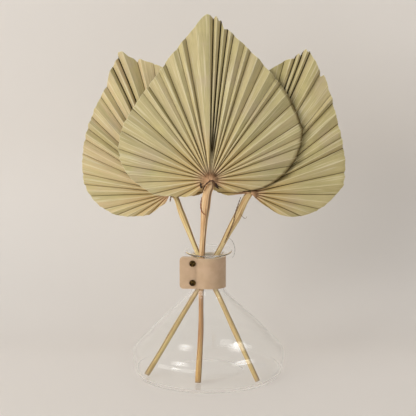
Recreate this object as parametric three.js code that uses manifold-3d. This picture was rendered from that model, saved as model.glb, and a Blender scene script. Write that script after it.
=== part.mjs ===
// Three dried, pleated palm leaves standing in a clear, cone-shaped glass flask. A leather band closed
// by two rivets goes round the flask's neck. Millimetres, +Z up, the front looks along -Y.
// The origin is the middle of the flask's flat base.
import * as THREE from 'three';
import { mergeVertices } from 'three/addons/utils/BufferGeometryUtils.js';
import Module from 'manifold-3d';

const wasm = await Module();
wasm.setup();

// Clearance between pieces that touch
const SEAT = 0.3;

// Flask: outer radii and heights, then the rounds between its straight stretches
const FLASK_HEIGHT = 138;
const FLASK_WALL = 1.8;
const FLASK_FLOOR = 3.3;
const FLASK_SIDES = 38;
const BASE_RADIUS = 80;
const BASE_ROUND = 4;
const BELLY_RADIUS = 82.5;
const BELLY_Z = 21.6;
const SHOULDER_ROUND = 13;
const NECK_RADIUS = 17;
const NECK_FOOT_Z = 98.3;
const NECK_ROUND = 14;
const FLARE_Z = 132.4;
const FLARE_REACH = 11.2;
const FLARE_TURN = 75;

// Leather band: a strap round the neck whose two ends lie on each other as a tab at the front left
const STRAP = 1.6;
const STRAP_LOW = 96.9;
const STRAP_HIGH = 131.5;
const STRAP_LOW_RISE = 0.11;
const STRAP_HIGH_RISE = 0.07;
const TAB_HIGH = 134;
const TAB_RISES_FROM = 19.7;
const TAB_RISES_TO = 24.4;
const TAB_DEPTH = 17.2;
const TAB_SLANT = 5;
const TAB_LEAVES_AT = 16;
const TAB_REACH = 29.6;
const TAB_FLAT_TO = 21.5;
const TAB_BENT_BACK = 0.9;
const TAB_CORNER = 4;
const FOLD_ROUND = 1;
const CUTTER_LENGTH = 24;
const CUTTER_MARGIN = 2;

// Rivets: domed cap in front, washer behind
const RIVET_HEIGHTS = { rivet_upper: 127, rivet_lower: 105.5 };
const RIVET_ALONG = 15.6;
const RIVET_CAP = 3.5;
const RIVET_DOME = 1.5;
const RIVET_POST = 1.3;
const RIVET_WASHER = 2;
const RIVET_WASHER_THICK = 0.6;
const RIVET_SIDES = 20;

// Leaves
const BLADE_THICK = 1.1;
const BLADE_INNER = 6.8;
const BLADE_ROWS = 5;
const BLADE_SWEEP = 0.04;
const CREASE_FULL_AT = 100;
const CREASE_GROWTH_AFTER = 0.3;
const STALK_SIDES = 12;
const STALK_STEPS = 26;
const STALK_TOP_STEPS = 4;
const STALK_DEPTH = 0.86;

// Each leaf: its hub, how far it leans back and turns to the side (degrees), its stalk's route from the
// foot to just below the hub, how far the stalk comes in beside the midrib (degrees in the blade's plane)
// and its half widths, the blade's outline as [degrees from the midrib, radius], and its creases as
// [degrees, height towards the front at a radius of 100 mm].
const LEAVES = {
  leaf_front: {
    hub: [1.6, 15, 211.9],
    lean: 12,
    turn: 0,
    route: [
      [-11.2, -55, 4.8], [-8.1, -29, 56.2], [-7.8, -12.6, 85.2], [-7.3, -6.3, 111.4],
      [-6.7, -2.2, 138.3], [-5.3, 3, 159.2], [-3.5, 8.3, 180.1], [-0.9, 12.2, 199.3],
    ],
    comesIn: 0,
    halfWidths: [3.3, 3.25, 3.1, 2.8, 2.8, 3.1, 4.5, 4],
    outline: [
      [-134, 21], [-128, 29], [-121, 36], [-112, 46], [-106, 61], [-98, 71], [-90, 84], [-81, 96],
      [-72, 104], [-60, 110], [-46, 114], [-33, 121], [-23, 131], [-14, 145], [-9, 156], [-6, 164],
      [-3, 174], [-1.2, 179], [0, 178], [1, 173], [2, 177], [2.8, 171.5], [3.6, 173], [5, 163],
      [6.2, 164], [10, 156], [17, 146], [25, 137], [32, 131], [42, 125], [52, 119], [62, 114],
      [70, 104], [76, 96], [81, 89], [87, 79], [94, 67], [99, 57], [107, 40], [121, 25],
    ],
    creases: [
      [-134, -0.5], [-126, 1.4], [-118, -1.4], [-110, 1.4], [-104, -1.6], [-98, 1.2], [-92, -1.8],
      [-86, 1.5], [-80, -1.7], [-75, 1.1], [-71, -1.8], [-66, 1.4], [-61, -2.1], [-54, 1.8],
      [-48, -2.4], [-42, 1.4], [-38, -0.2], [-35.2, 1.6], [-33.4, -2], [-28, 1.4], [-25, -0.4],
      [-22.4, 1.9], [-20.5, -1.9], [-15.5, 1.5], [-13, -0.2], [-11, 1.9], [-9.3, -1.8], [-5, 1.2],
      [-0.4, 1.5], [1, -1.6], [2.2, 0.9], [3.7, -1.8], [4.9, 0.7], [6.3, -1.7], [7.5, 0.7],
      [8.8, -1.2], [11.5, 1.8], [14, -0.6], [15.5, 1.2], [17.2, -1.9], [21, 1.9], [24.8, -1.6],
      [29, 1.8], [33, -0.4], [34.5, 1.2], [36.6, -2], [42, 1.8], [47.5, -2], [52, 1.4], [57.5, -1.6],
      [61, 0.8], [64.5, -1], [67, 0.8], [70, -1.8], [75.5, 1.4], [80.5, -1.8], [85.5, 1.2],
      [91, -1.6], [98, 1.2], [104.5, -1.5], [113, 1.2], [121, -0.5],
    ],
  },
  leaf_left: {
    hub: [-40.7, 33, 193],
    lean: 13,
    turn: -21,
    route: [
      [52.7, -50.6, 5.5], [42.1, -38.5, 26.2], [29.2, -26.5, 51.7], [8.2, -6.4, 93.5],
      [-1.8, -1.4, 113.1], [-12.7, 4.4, 136], [-23.8, 13.6, 161.8], [-30.2, 21, 176.3],
    ],
    comesIn: 28,
    halfWidths: [2.9, 2.9, 2.85, 2.75, 2.7, 2.8, 3.6, 3.2],
    outline: [
      [-129, 13], [-119, 20], [-115, 32], [-102, 47], [-92, 64], [-83, 76], [-74, 87], [-64, 96],
      [-51, 103], [-37, 112], [-25, 121], [-17, 129], [-11, 136], [-7, 147], [-4.6, 152], [-3, 155],
      [-1, 157.5], [-0.2, 164], [1.5, 163.5], [3, 156], [5, 151.5], [6, 146], [7.2, 150], [12, 143],
      [18, 136], [25, 129], [34, 119], [46, 112], [60, 106], [71, 94], [80, 82], [88, 70],
      [97, 57], [106, 40], [118, 25],
    ],
    creases: [
      [-129, -0.4], [-121, 1.2], [-114, -1.5], [-108, 1.2], [-102, -1.4], [-97, 1.3], [-91.5, -1.6],
      [-87.5, 1.2], [-83, -1.6], [-77, 1.4], [-72, -1.5], [-68, 1.1], [-64, -1.5], [-60.5, 1],
      [-57, -1.4], [-51, 1.6], [-46, -1.2], [-42, 1.2], [-38, -1], [-35, 1], [-32, -1.7],
      [-29, 1.5], [-25.8, -1.8], [-21, 1.6], [-16, -1.4], [-13.5, 1.1], [-11.2, -1.5], [-6.4, 1.8],
      [-4.8, -1.7], [-2.6, 1.2], [-1, -1.8], [1.6, 1.9], [6, -2], [7.6, 1.6], [13, 0.6], [18, 1.8],
      [21, -1.8], [27, 1.6], [33, -1.8], [38, 1.5], [43, -1.7], [49, 1.5], [55, -1.7], [61, 1.4],
      [67, -1.6], [73, 1.4], [79, -1.6], [86, 1.4], [93, -1.5], [101, 1.2], [109, -1.4], [118, 0.8],
    ],
  },
  leaf_right: {
    hub: [45, 24, 195.2],
    lean: 13,
    turn: 22,
    route: [
      [-67, -30.5, 5.6], [-51.6, -21.4, 29.3], [-33.2, -11, 58.9], [-14.6, -0.6, 88.1],
      [-1.8, 4.7, 111.4], [11, 6.2, 134.6], [21.8, 11.2, 154.6], [31.5, 16.6, 171.4],
    ],
    comesIn: -15,
    halfWidths: [3.2, 3.1, 2.9, 2.8, 2.85, 3.1, 4.5, 4.4],
    outline: [
      [-118, 24], [-106, 40], [-97, 57], [-88, 70], [-80, 82], [-71, 94], [-60, 104], [-46, 111],
      [-34, 118], [-25, 125], [-18, 131], [-12.5, 135], [-10, 141], [-6, 150], [-3.4, 154],
      [-2.2, 161], [-1.4, 158], [-0.2, 168], [0.8, 165], [1.6, 167], [4, 162], [8, 154], [9, 151.5],
      [12, 149], [16, 142], [21, 135], [24.5, 129.5], [29, 124.5], [33, 120.5], [41, 114.5],
      [52, 109], [64, 103], [71, 93.5], [78, 84], [84, 76], [90, 66], [97, 55], [103, 42],
      [107, 25], [111, 14],
    ],
    creases: [
      [-118, 0.6], [-110, -1.4], [-102, 1.2], [-94, -1.5], [-87, 1.3], [-80, -1.6], [-73, 1.4],
      [-67, -1.6], [-61, 1.4], [-55, -1.7], [-49, 1.5], [-43, -1.7], [-38, 1.4], [-33, -1.7],
      [-28, 1.5], [-23, -1.7], [-19, 1.4], [-14, -1.6], [-9.5, 1.4], [-7, -1.3], [-4.6, 1],
      [-3, -1.2], [-2, 0.6], [-0.9, -1.8], [0.5, 0.6], [1.8, -1.6], [4.4, 1.4], [7.6, 1.7],
      [9.3, -1.6], [14.8, 1.2], [18.6, 0.6], [20, 1.6], [21.8, -1.9], [26.5, 1.5], [31, -2],
      [34.5, 1.2], [37.5, 0.3], [40.5, 1.5], [43, -1.9], [49, 1.6], [56, -1.7], [63, 1.5],
      [70, -1.6], [76, 1.4], [82, -1.5], [87.5, 1.2], [93, -1.5], [99, 1.2], [105, -1.2], [111, 0.6],
    ],
  },
};

const GLASS = new THREE.MeshStandardMaterial({
  name: 'clear_glass', color: 0xe8efec, roughness: 0.03, metalness: 0, transparent: true, opacity: 0.3,
});
const LEATHER = new THREE.MeshStandardMaterial({ name: 'leather', color: 0xc49f83, roughness: 0.65 });
const BRASS = new THREE.MeshStandardMaterial({
  name: 'dark_brass', color: 0x3a2c18, roughness: 0.35, metalness: 1,
});
const PALM_BLADE = new THREE.MeshStandardMaterial({ name: 'palm_blade', color: 0xb2a67c, roughness: 0.8 });
const PALM_STALK = new THREE.MeshStandardMaterial({ name: 'palm_stalk', color: 0xb98f57, roughness: 0.7 });

const radians = THREE.MathUtils.degToRad;

// Points on an elliptical arc round (x, y), both ends included
function arc(x, y, reachX, reachY, from, to, steps) {
  const points = [];
  for (let step = 0; step <= steps; step += 1) {
    const angle = radians(THREE.MathUtils.lerp(from, to, step / steps));
    points.push(new THREE.Vector2(x + reachX * Math.cos(angle), y + reachY * Math.sin(angle)));
  }
  return points;
}

// Half a circle from one point to another, on the right-hand side of the way between them
function halfRound(start, end, steps) {
  const middle = start.clone().add(end).multiplyScalar(0.5);
  const radius = start.distanceTo(end) / 2;
  const first = THREE.MathUtils.radToDeg(Math.atan2(start.y - middle.y, start.x - middle.x));
  return arc(middle.x, middle.y, radius, radius, first, first + 180, steps).slice(1, -1);
}

// The flask's side from its base to its rim, a given distance in from the outer surface
function flaskSide(inset) {
  const bottom = inset > 0 ? FLASK_FLOOR : 0;
  const round = BASE_ROUND - inset / 2;
  const shoulderX = BELLY_RADIUS - SHOULDER_ROUND;
  const belly = SHOULDER_ROUND - inset;
  const neckX = NECK_RADIUS + NECK_ROUND;
  const neck = NECK_ROUND + inset;
  const flareX = NECK_RADIUS + FLARE_REACH;
  const flare = FLASK_HEIGHT - FLASK_WALL - FLARE_Z + inset;
  const baseX = BASE_RADIUS - inset - round;
  const lowSide = new THREE.QuadraticBezierCurve(
    new THREE.Vector2(BASE_RADIUS - inset, bottom + round),
    new THREE.Vector2(BELLY_RADIUS - inset, (bottom + round + BELLY_Z) / 2),
    new THREE.Vector2(BELLY_RADIUS - inset, BELLY_Z),
  );
  return [
    ...arc(baseX, bottom + round, round, round, -90, 0, 3),
    ...lowSide.getPoints(3).slice(1, -1),
    ...arc(shoulderX, BELLY_Z, belly, belly, 0, 45, 4),
    ...arc(neckX, NECK_FOOT_Z, neck, neck, 225, 180, 4),
    ...arc(flareX, FLARE_Z, FLARE_REACH + inset, flare, 180, 180 - FLARE_TURN, 5),
  ];
}

function flask() {
  const outside = flaskSide(0);
  const inside = flaskSide(FLASK_WALL);
  const lip = halfRound(outside.at(-1), inside.at(-1), 4);
  const profile = [
    new THREE.Vector2(0, 0),
    ...outside,
    ...lip,
    ...inside.reverse(),
    new THREE.Vector2(0, FLASK_FLOOR),
  ];
  const geometry = new THREE.LatheGeometry(profile, FLASK_SIDES);
  geometry.rotateX(Math.PI / 2);
  return geometry;
}

// Directions in the tab: along its flat stretch away from the neck, and from its front to its back
const alongTab = new THREE.Vector2(-Math.cos(radians(TAB_SLANT)), Math.sin(radians(TAB_SLANT)));
const behindTab = new THREE.Vector2(Math.sin(radians(TAB_SLANT)), Math.cos(radians(TAB_SLANT)));
const strapRadius = NECK_RADIUS + SEAT + STRAP / 2;

function onTab(along, depth) {
  return alongTab.clone().multiplyScalar(along).addScaledVector(behindTab, -depth);
}

// One end of the strap, from its free end to where it is flat: it bends a little to the back
function tabEnd(depth) {
  const free = onTab(TAB_REACH, depth - TAB_BENT_BACK);
  const flat = onTab(TAB_FLAT_TO, depth);
  const bend = onTab((TAB_REACH + TAB_FLAT_TO) / 2, depth);
  return new THREE.QuadraticBezierCurve(free, bend, flat).getPoints(4);
}

// The strap's middle line seen from above: front end, right round the neck, sharp fold, back end
function strapLine() {
  const leaves = radians(TAB_LEAVES_AT);
  const start = new THREE.Vector2(-Math.sin(leaves), -Math.cos(leaves)).multiplyScalar(strapRadius);
  const heading = new THREE.Vector2(-Math.cos(leaves), Math.sin(leaves));
  const slant = radians(TAB_LEAVES_AT - TAB_SLANT);
  const reach = (strapRadius * Math.cos(slant) - TAB_DEPTH) / Math.sin(slant);
  const corner = start.clone().addScaledVector(heading, reach);
  const flatFrom = corner.clone().addScaledVector(alongTab, reach);
  const ease = new THREE.QuadraticBezierCurve(flatFrom, corner, start).getPoints(4);

  const backDepth = TAB_DEPTH - STRAP - SEAT;
  const foldDepth = backDepth - FOLD_ROUND;
  const foldAlong = Math.sqrt((strapRadius + FOLD_ROUND) ** 2 - foldDepth ** 2);
  const fold = onTab(foldAlong, foldDepth);
  const foldAngle = THREE.MathUtils.radToDeg(Math.atan2(fold.y, fold.x)) + 360;
  const foldRound = arc(fold.x, fold.y, FOLD_ROUND, FOLD_ROUND, foldAngle - 180, 90 - TAB_SLANT - 180, 5);

  return [
    ...tabEnd(TAB_DEPTH),
    ...ease,
    ...arc(0, 0, strapRadius, strapRadius, -90 - TAB_LEAVES_AT, foldAngle, 34).slice(1),
    ...foldRound.slice(1),
    ...tabEnd(backDepth).reverse(),
  ];
}

// A strip of even width along a line in the plane, as a closed shape
function strip(line, width) {
  const sides = [[], []];
  for (const [index, point] of line.entries()) {
    const before = line[Math.max(index - 1, 0)];
    const after = line[Math.min(index + 1, line.length - 1)];
    const way = after.clone().sub(before).normalize();
    const across = new THREE.Vector2(way.y, -way.x).multiplyScalar(width / 2);
    sides[0].push(point.clone().add(across));
    sides[1].push(point.clone().sub(across));
  }
  return new THREE.Shape([...sides[0], ...sides[1].reverse()]);
}

function toManifold(geometry) {
  const bare = geometry.clone();
  bare.deleteAttribute('normal');
  bare.deleteAttribute('uv');
  const merged = mergeVertices(bare, 1e-4);
  return new wasm.Manifold(new wasm.Mesh({
    numProp: 3,
    vertProperties: new Float32Array(merged.attributes.position.array),
    triVerts: new Uint32Array(merged.index.array),
  }));
}

function fromManifold(solid) {
  const mesh = solid.getMesh();
  const geometry = new THREE.BufferGeometry();
  geometry.setAttribute('position', new THREE.BufferAttribute(mesh.vertProperties, 3));
  geometry.setIndex(new THREE.BufferAttribute(mesh.triVerts, 1));
  return geometry;
}

// What a rounded corner of the tab takes away: side is 1 at the top and -1 at the bottom
function cornerWaste(x, z, side) {
  const shape = new THREE.Shape([
    new THREE.Vector2(x - CUTTER_MARGIN, z + CUTTER_MARGIN * side),
    new THREE.Vector2(x - CUTTER_MARGIN, z - TAB_CORNER * side),
    ...arc(x + TAB_CORNER, z - TAB_CORNER * side, TAB_CORNER, TAB_CORNER, 180, 180 - 90 * side, 5),
    new THREE.Vector2(x + TAB_CORNER, z + CUTTER_MARGIN * side),
  ]);
  const geometry = new THREE.ExtrudeGeometry(shape, { depth: CUTTER_LENGTH, bevelEnabled: false });
  geometry.rotateX(Math.PI / 2);
  return toManifold(geometry);
}

function band() {
  const geometry = new THREE.ExtrudeGeometry(strip(strapLine(), STRAP), { depth: 1, bevelEnabled: false });
  const places = geometry.attributes.position;
  for (let index = 0; index < places.count; index += 1) {
    const x = places.getX(index);
    const y = places.getY(index);
    const low = STRAP_LOW + STRAP_LOW_RISE * Math.max(0, -y);
    const onNeck = STRAP_HIGH - STRAP_HIGH_RISE * y;
    const outward = THREE.MathUtils.smoothstep(Math.hypot(x, y), TAB_RISES_FROM, TAB_RISES_TO);
    const high = THREE.MathUtils.lerp(onNeck, TAB_HIGH, outward);
    places.setZ(index, places.getZ(index) > 0.5 ? high : low);
  }
  const holeRadius = RIVET_POST + SEAT;
  const end = tabEnd(TAB_DEPTH)[0];
  const lowCorner = STRAP_LOW - STRAP_LOW_RISE * end.y;
  let solid = toManifold(geometry)
    .subtract(cornerWaste(end.x, TAB_HIGH, 1))
    .subtract(cornerWaste(end.x, lowCorner, -1));
  for (const height of Object.values(RIVET_HEIGHTS)) {
    const hole = new THREE.CylinderGeometry(holeRadius, holeRadius, CUTTER_LENGTH / 2, RIVET_SIDES);
    hole.rotateZ(radians(180 - TAB_SLANT));
    const middle = onTab(RIVET_ALONG, TAB_DEPTH - (STRAP + SEAT) / 2);
    hole.translate(middle.x, middle.y, height);
    solid = solid.subtract(toManifold(hole));
  }
  return fromManifold(solid);
}

// A rivet along its own axis, cap to +Y, with the leather's front face at y = 0
function rivet() {
  const leather = 2 * STRAP + SEAT;
  const washerTop = -leather - SEAT;
  const profile = [
    new THREE.Vector2(0, washerTop - RIVET_WASHER_THICK),
    new THREE.Vector2(RIVET_WASHER, washerTop - RIVET_WASHER_THICK),
    new THREE.Vector2(RIVET_WASHER, washerTop),
    new THREE.Vector2(RIVET_POST, washerTop),
    new THREE.Vector2(RIVET_POST, SEAT),
    ...arc(0, SEAT, RIVET_CAP, RIVET_DOME, 0, 90, 5).slice(0, -1),
    new THREE.Vector2(0, SEAT + RIVET_DOME),
  ];
  return new THREE.LatheGeometry(profile, RIVET_SIDES);
}

// Where a stalk's rings lie along its curve, and their size: even steps, then a rounded top
function stalkStations(length, topHalf) {
  const roundFrom = 1 - topHalf / length;
  const stations = [];
  for (let step = 0; step <= STALK_STEPS; step += 1) {
    stations.push({ along: (roundFrom * step) / STALK_STEPS, size: 1 });
  }
  for (let step = 1; step < STALK_TOP_STEPS; step += 1) {
    const angle = (step / STALK_TOP_STEPS) * (Math.PI / 2);
    stations.push({ along: roundFrom + (1 - roundFrom) * Math.sin(angle), size: Math.cos(angle) });
  }
  return stations;
}

// A stalk along a smooth route: oval rings from the cut foot to a rounded top
function stalk(route, halfWidths) {
  const curve = new THREE.CatmullRomCurve3(route, false, 'centripetal');
  const stations = stalkStations(curve.getLength(), halfWidths.at(-1));
  const front = new THREE.Vector3(0, -1, 0);
  const positions = [];
  for (const { along, size } of stations) {
    const centre = curve.getPointAt(along);
    const way = curve.getTangentAt(along);
    const side = new THREE.Vector3().crossVectors(front, way).normalize();
    const face = new THREE.Vector3().crossVectors(way, side).normalize();
    const place = along * (halfWidths.length - 1);
    const from = Math.min(Math.floor(place), halfWidths.length - 2);
    const half = size * THREE.MathUtils.lerp(halfWidths[from], halfWidths[from + 1], place - from);
    for (let corner = 0; corner < STALK_SIDES; corner += 1) {
      const angle = (corner / STALK_SIDES) * Math.PI * 2;
      const point = centre.clone()
        .addScaledVector(side, half * Math.cos(angle))
        .addScaledVector(face, half * STALK_DEPTH * Math.sin(angle));
      positions.push(point.x, point.y, point.z);
    }
  }
  const foot = curve.getPointAt(0);
  const top = curve.getPointAt(1);
  positions.push(foot.x, foot.y, foot.z, top.x, top.y, top.z);
  const footIndex = stations.length * STALK_SIDES;
  const lastRing = footIndex - STALK_SIDES;
  const index = [];
  for (let corner = 0; corner < STALK_SIDES; corner += 1) {
    const next = (corner + 1) % STALK_SIDES;
    for (let low = 0; low < lastRing; low += STALK_SIDES) {
      const high = low + STALK_SIDES;
      index.push(low + corner, low + next, high + next, low + corner, high + next, high + corner);
    }
    index.push(footIndex, next, corner, footIndex + 1, lastRing + corner, lastRing + next);
  }
  return closedGeometry(positions, index);
}

// A closed body from its corners and triangles, turned so that its faces point out
function closedGeometry(positions, index) {
  const geometry = new THREE.BufferGeometry();
  geometry.setAttribute('position', new THREE.Float32BufferAttribute(positions, 3));
  const a = new THREE.Vector3();
  const b = new THREE.Vector3();
  const c = new THREE.Vector3();
  let volume = 0;
  for (let face = 0; face < index.length; face += 3) {
    a.fromArray(positions, index[face] * 3);
    b.fromArray(positions, index[face + 1] * 3);
    c.fromArray(positions, index[face + 2] * 3);
    volume += a.dot(b.cross(c));
  }
  geometry.setIndex(volume < 0 ? index.reverse() : index);
  return geometry;
}

// A value between the listed [place, value] pairs
function between(pairs, place) {
  const after = Math.max(1, pairs.findIndex(([at]) => at >= place));
  const [fromAt, from] = pairs[after - 1];
  const [toAt, to] = pairs[after];
  return THREE.MathUtils.mapLinear(place, fromAt, toAt, from, to);
}

// A pleated fan round its hub, in its own frame: +Z along the midrib, +X to the right, -Y to the front.
// Each column runs out from the hub along a crease or to a corner of the outline. Both faces have the
// same triangles, one blade thickness apart.
function blade(outline, creases) {
  const stops = [...outline, ...creases].map(([degrees]) => degrees).sort((a, b) => a - b);
  const columns = stops.filter((degrees, index) => index === 0 || degrees - stops[index - 1] > 0.25);
  const positions = [];
  for (const side of [-1, 1]) {
    for (const degrees of columns) {
      const rim = between(outline, degrees);
      for (let row = 0; row <= BLADE_ROWS; row += 1) {
        const radius = THREE.MathUtils.lerp(BLADE_INNER, rim, row / BLADE_ROWS);
        const x = radius * Math.sin(radians(degrees));
        const z = radius * Math.cos(radians(degrees));
        const past = Math.max(0, radius - CREASE_FULL_AT);
        const growth = (Math.min(radius, CREASE_FULL_AT) + CREASE_GROWTH_AFTER * past) / CREASE_FULL_AT;
        const forward = between(creases, degrees) * growth - BLADE_SWEEP * Math.abs(x);
        positions.push(x, -forward + side * BLADE_THICK / 2, z);
      }
    }
  }
  const stride = BLADE_ROWS + 1;
  const back = columns.length * stride;
  const last = columns.length - 1;
  const index = [];
  const quad = (a, b, c, d) => index.push(a, b, c, a, c, d);
  for (let column = 0; column < last; column += 1) {
    const here = column * stride;
    const next = here + stride;
    for (let row = 0; row < BLADE_ROWS; row += 1) {
      quad(here + row, next + row, next + row + 1, here + row + 1);
      index.push(back + here + row, back + next + row + 1, back + next + row);
      index.push(back + here + row, back + here + row + 1, back + next + row + 1);
    }
    quad(here, back + here, back + next, next);
    quad(here + BLADE_ROWS, next + BLADE_ROWS, back + next + BLADE_ROWS, back + here + BLADE_ROWS);
  }
  for (let row = 0; row < BLADE_ROWS; row += 1) {
    const end = last * stride;
    quad(row, row + 1, back + row + 1, back + row);
    quad(end + row, back + end + row, back + end + row + 1, end + row + 1);
  }
  return closedGeometry(positions, index);
}

// A leaf's stalk and blade. The stalk's rounded top fills the middle of the blade's fan.
function addLeaf(group, name, leaf) {
  const lean = -radians(leaf.lean);
  const turn = radians(leaf.turn);
  const hub = new THREE.Vector3(...leaf.hub);
  const beside = radians(leaf.comesIn);
  const comesFrom = new THREE.Vector3(Math.sin(beside), 0, -Math.cos(beside));
  comesFrom.applyEuler(new THREE.Euler(lean, turn, 0));
  const route = leaf.route.map((place) => new THREE.Vector3(...place));
  route.push(hub.clone().addScaledVector(comesFrom, BLADE_INNER - SEAT));
  route.push(hub.clone().addScaledVector(comesFrom, SEAT - BLADE_INNER));
  const stalkMesh = new THREE.Mesh(stalk(route, leaf.halfWidths), PALM_STALK);
  stalkMesh.name = `${name}_stalk`;
  const bladeMesh = new THREE.Mesh(blade(leaf.outline, leaf.creases), PALM_BLADE);
  bladeMesh.name = `${name}_blade`;
  bladeMesh.position.copy(hub);
  bladeMesh.rotation.set(lean, turn, 0);
  group.add(stalkMesh, bladeMesh);
}

function addFlask(group) {
  const mesh = new THREE.Mesh(flask(), GLASS);
  mesh.name = 'flask';
  group.add(mesh);
}

function addBand(group) {
  const mesh = new THREE.Mesh(band(), LEATHER);
  mesh.name = 'neck_band';
  group.add(mesh);
  for (const [name, height] of Object.entries(RIVET_HEIGHTS)) {
    const rivetMesh = new THREE.Mesh(rivet(), BRASS);
    const face = onTab(RIVET_ALONG, TAB_DEPTH + STRAP / 2);
    rivetMesh.name = name;
    rivetMesh.position.set(face.x, face.y, height);
    rivetMesh.rotation.z = radians(180 - TAB_SLANT);
    group.add(rivetMesh);
  }
}

const palmLeavesInFlask = new THREE.Group();
addFlask(palmLeavesInFlask);
addBand(palmLeavesInFlask);
for (const [name, leaf] of Object.entries(LEAVES)) {
  addLeaf(palmLeavesInFlask, name, leaf);
}

export default palmLeavesInFlask;
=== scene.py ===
# Three dried, pleated palm leaves in a clear glass flask with a riveted leather band round its neck.
# +Z is up and the front looks along -Y. The object's sizes are in millimetres, the room's in metres.
# The pieces come in the order in which they are put together.
import math

import bpy
import numpy as np
from mathutils import Euler, Matrix, Vector
from mathutils.bvhtree import BVHTree


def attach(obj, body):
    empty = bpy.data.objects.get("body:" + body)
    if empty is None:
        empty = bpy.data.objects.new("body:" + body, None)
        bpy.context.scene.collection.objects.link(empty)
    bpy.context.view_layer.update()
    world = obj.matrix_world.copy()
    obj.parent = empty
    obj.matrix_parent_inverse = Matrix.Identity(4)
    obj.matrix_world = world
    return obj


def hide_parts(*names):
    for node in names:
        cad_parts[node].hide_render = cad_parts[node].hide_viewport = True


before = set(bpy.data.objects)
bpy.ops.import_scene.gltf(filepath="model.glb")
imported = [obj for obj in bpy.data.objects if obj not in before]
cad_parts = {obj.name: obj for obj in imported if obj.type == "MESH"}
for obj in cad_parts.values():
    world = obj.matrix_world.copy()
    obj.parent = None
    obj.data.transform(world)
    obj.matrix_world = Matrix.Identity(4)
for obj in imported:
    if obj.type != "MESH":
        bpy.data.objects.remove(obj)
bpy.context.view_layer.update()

# The flask
# Clear glass, blown in one piece: a flat base with a shallow dent, a wide cone, a neck and a rim
# that is turned outwards. The floor is thicker than the wall. It stands loose and holds the rest.
MM = 0.001
SAME_PLACE = 0.01
SMOOTH_UNDER = math.radians(40)
FLASK_HEIGHT = 138
FLASK_WALL = 1.8
FLASK_FLOOR = 3.3
BASE_RADIUS = 80
BASE_ROUND = 4
BASE_DENT = 0.7
BASE_DENT_EDGE = (34, 37, 39)
BELLY_RADIUS = 82.5
BELLY_Z = 21.6
SHOULDER_ROUND = 13
NECK_RADIUS = 17
NECK_FOOT_Z = 98.3
NECK_ROUND = 14
FLARE_Z = 132.4
FLARE_REACH = 11.2
FLARE_TURN = 75
FLASK_SIDES = 144
CONE_MEETS_ROUNDS_AT = 45
CONE_STEEPNESS = 46
CONE_DIPS = ((46, 5, 5.4), (31.5, 2.5, 5.2))
WIDE_PART_THINNER = 0.55
GLASS_COLOUR = (0.995, 1, 0.995, 1)
GLASS_IOR = 1.46
GLASS_HAZE = (0.01, 0.05)
GLASS_RIPPLE = 0.06
GLASS_RIPPLE_DEPTH = 2
GLASS_BENDS_LIGHT_UP_TO = 3.5


def deselect():
    bpy.ops.object.select_all(action="DESELECT")


def finish_piece(piece, name):
    """Names a finished piece and its mesh, and lets it ride on the object's one body."""
    piece.name = name
    piece.data.name = name
    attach(piece, "root")


def arc(x, z, reach_x, reach_z, start, end, steps):
    """Points on an elliptical arc round (x, z), from start to end in degrees, both ends included."""
    angles = np.radians(np.linspace(start, end, steps + 1))
    return [(x + reach_x * math.cos(a), z + reach_z * math.sin(a)) for a in angles]


def bend(start, middle, end, steps):
    """Points on a quadratic curve, both ends included."""
    start, middle, end = (np.array(place, float) for place in (start, middle, end))
    shares = np.linspace(0, 1, steps + 1)
    return [tuple((1 - t) ** 2 * start + 2 * t * (1 - t) * middle + t * t * end) for t in shares]


def bell(off, reach):
    """1 where the offset is 0, fading to nothing on both sides over a reach."""
    return np.exp(-((off / reach) ** 2))


def ramp(value, start, end):
    """0 up to the start and 1 from the end on, with an even rise between them."""
    return np.clip((value - start) / (end - start), 0, 1)


def at_least(low, share):
    """A share of 0 to 1, raised so that it runs from a lowest value to 1."""
    return low + (1 - low) * share


def face_outwards(inside=False):
    """Turns the faces of the active piece outwards, or inwards."""
    bpy.ops.object.mode_set(mode="EDIT")
    bpy.ops.mesh.select_all(action="SELECT")
    bpy.ops.mesh.normals_make_consistent(inside=inside)
    bpy.ops.object.mode_set(mode="OBJECT")


def turned(profile, sides):
    """A point extruded along a profile of (radius, height) places and spun round the Z axis."""
    deselect()
    first_radius, first_height = profile[0]
    place = (first_radius * MM, 0, first_height * MM)
    bpy.ops.mesh.primitive_plane_add(size=MM, location=place)
    piece = bpy.context.object
    bpy.ops.object.transform_apply(location=True)
    bpy.ops.object.mode_set(mode="EDIT")
    bpy.ops.mesh.select_mode(type="VERT")
    bpy.ops.mesh.merge(type="CENTER")
    for (x, z), (next_x, next_z) in zip(profile, profile[1:]):
        move = ((next_x - x) * MM, 0, (next_z - z) * MM)
        bpy.ops.mesh.extrude_vertices_move(TRANSFORM_OT_translate={"value": move})
    bpy.ops.mesh.select_all(action="SELECT")
    bpy.ops.mesh.spin(steps=sides, angle=math.tau, center=(0, 0, 0), axis=(0, 0, 1))
    bpy.ops.mesh.select_all(action="SELECT")
    bpy.ops.mesh.remove_doubles(threshold=SAME_PLACE * MM)
    face_outwards()
    return piece


def blown_cone(bottom, top, steps=60):
    """The cone's side between two (radius, height) places, a little steeper here and there."""
    heights = np.linspace(bottom[1], top[1], steps + 1)
    dips = sum(dip * bell(heights - height, reach) for height, reach, dip in CONE_DIPS)
    slope = np.tan(np.radians(CONE_STEEPNESS - dips))
    run = np.concatenate([[0], np.cumsum((slope[1:] + slope[:-1]) / 2 * np.diff(heights))])
    radii = bottom[0] - run
    radii += (top[0] - radii[-1]) * np.linspace(0, 1, steps + 1)
    return [*zip(radii, heights)]


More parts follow.
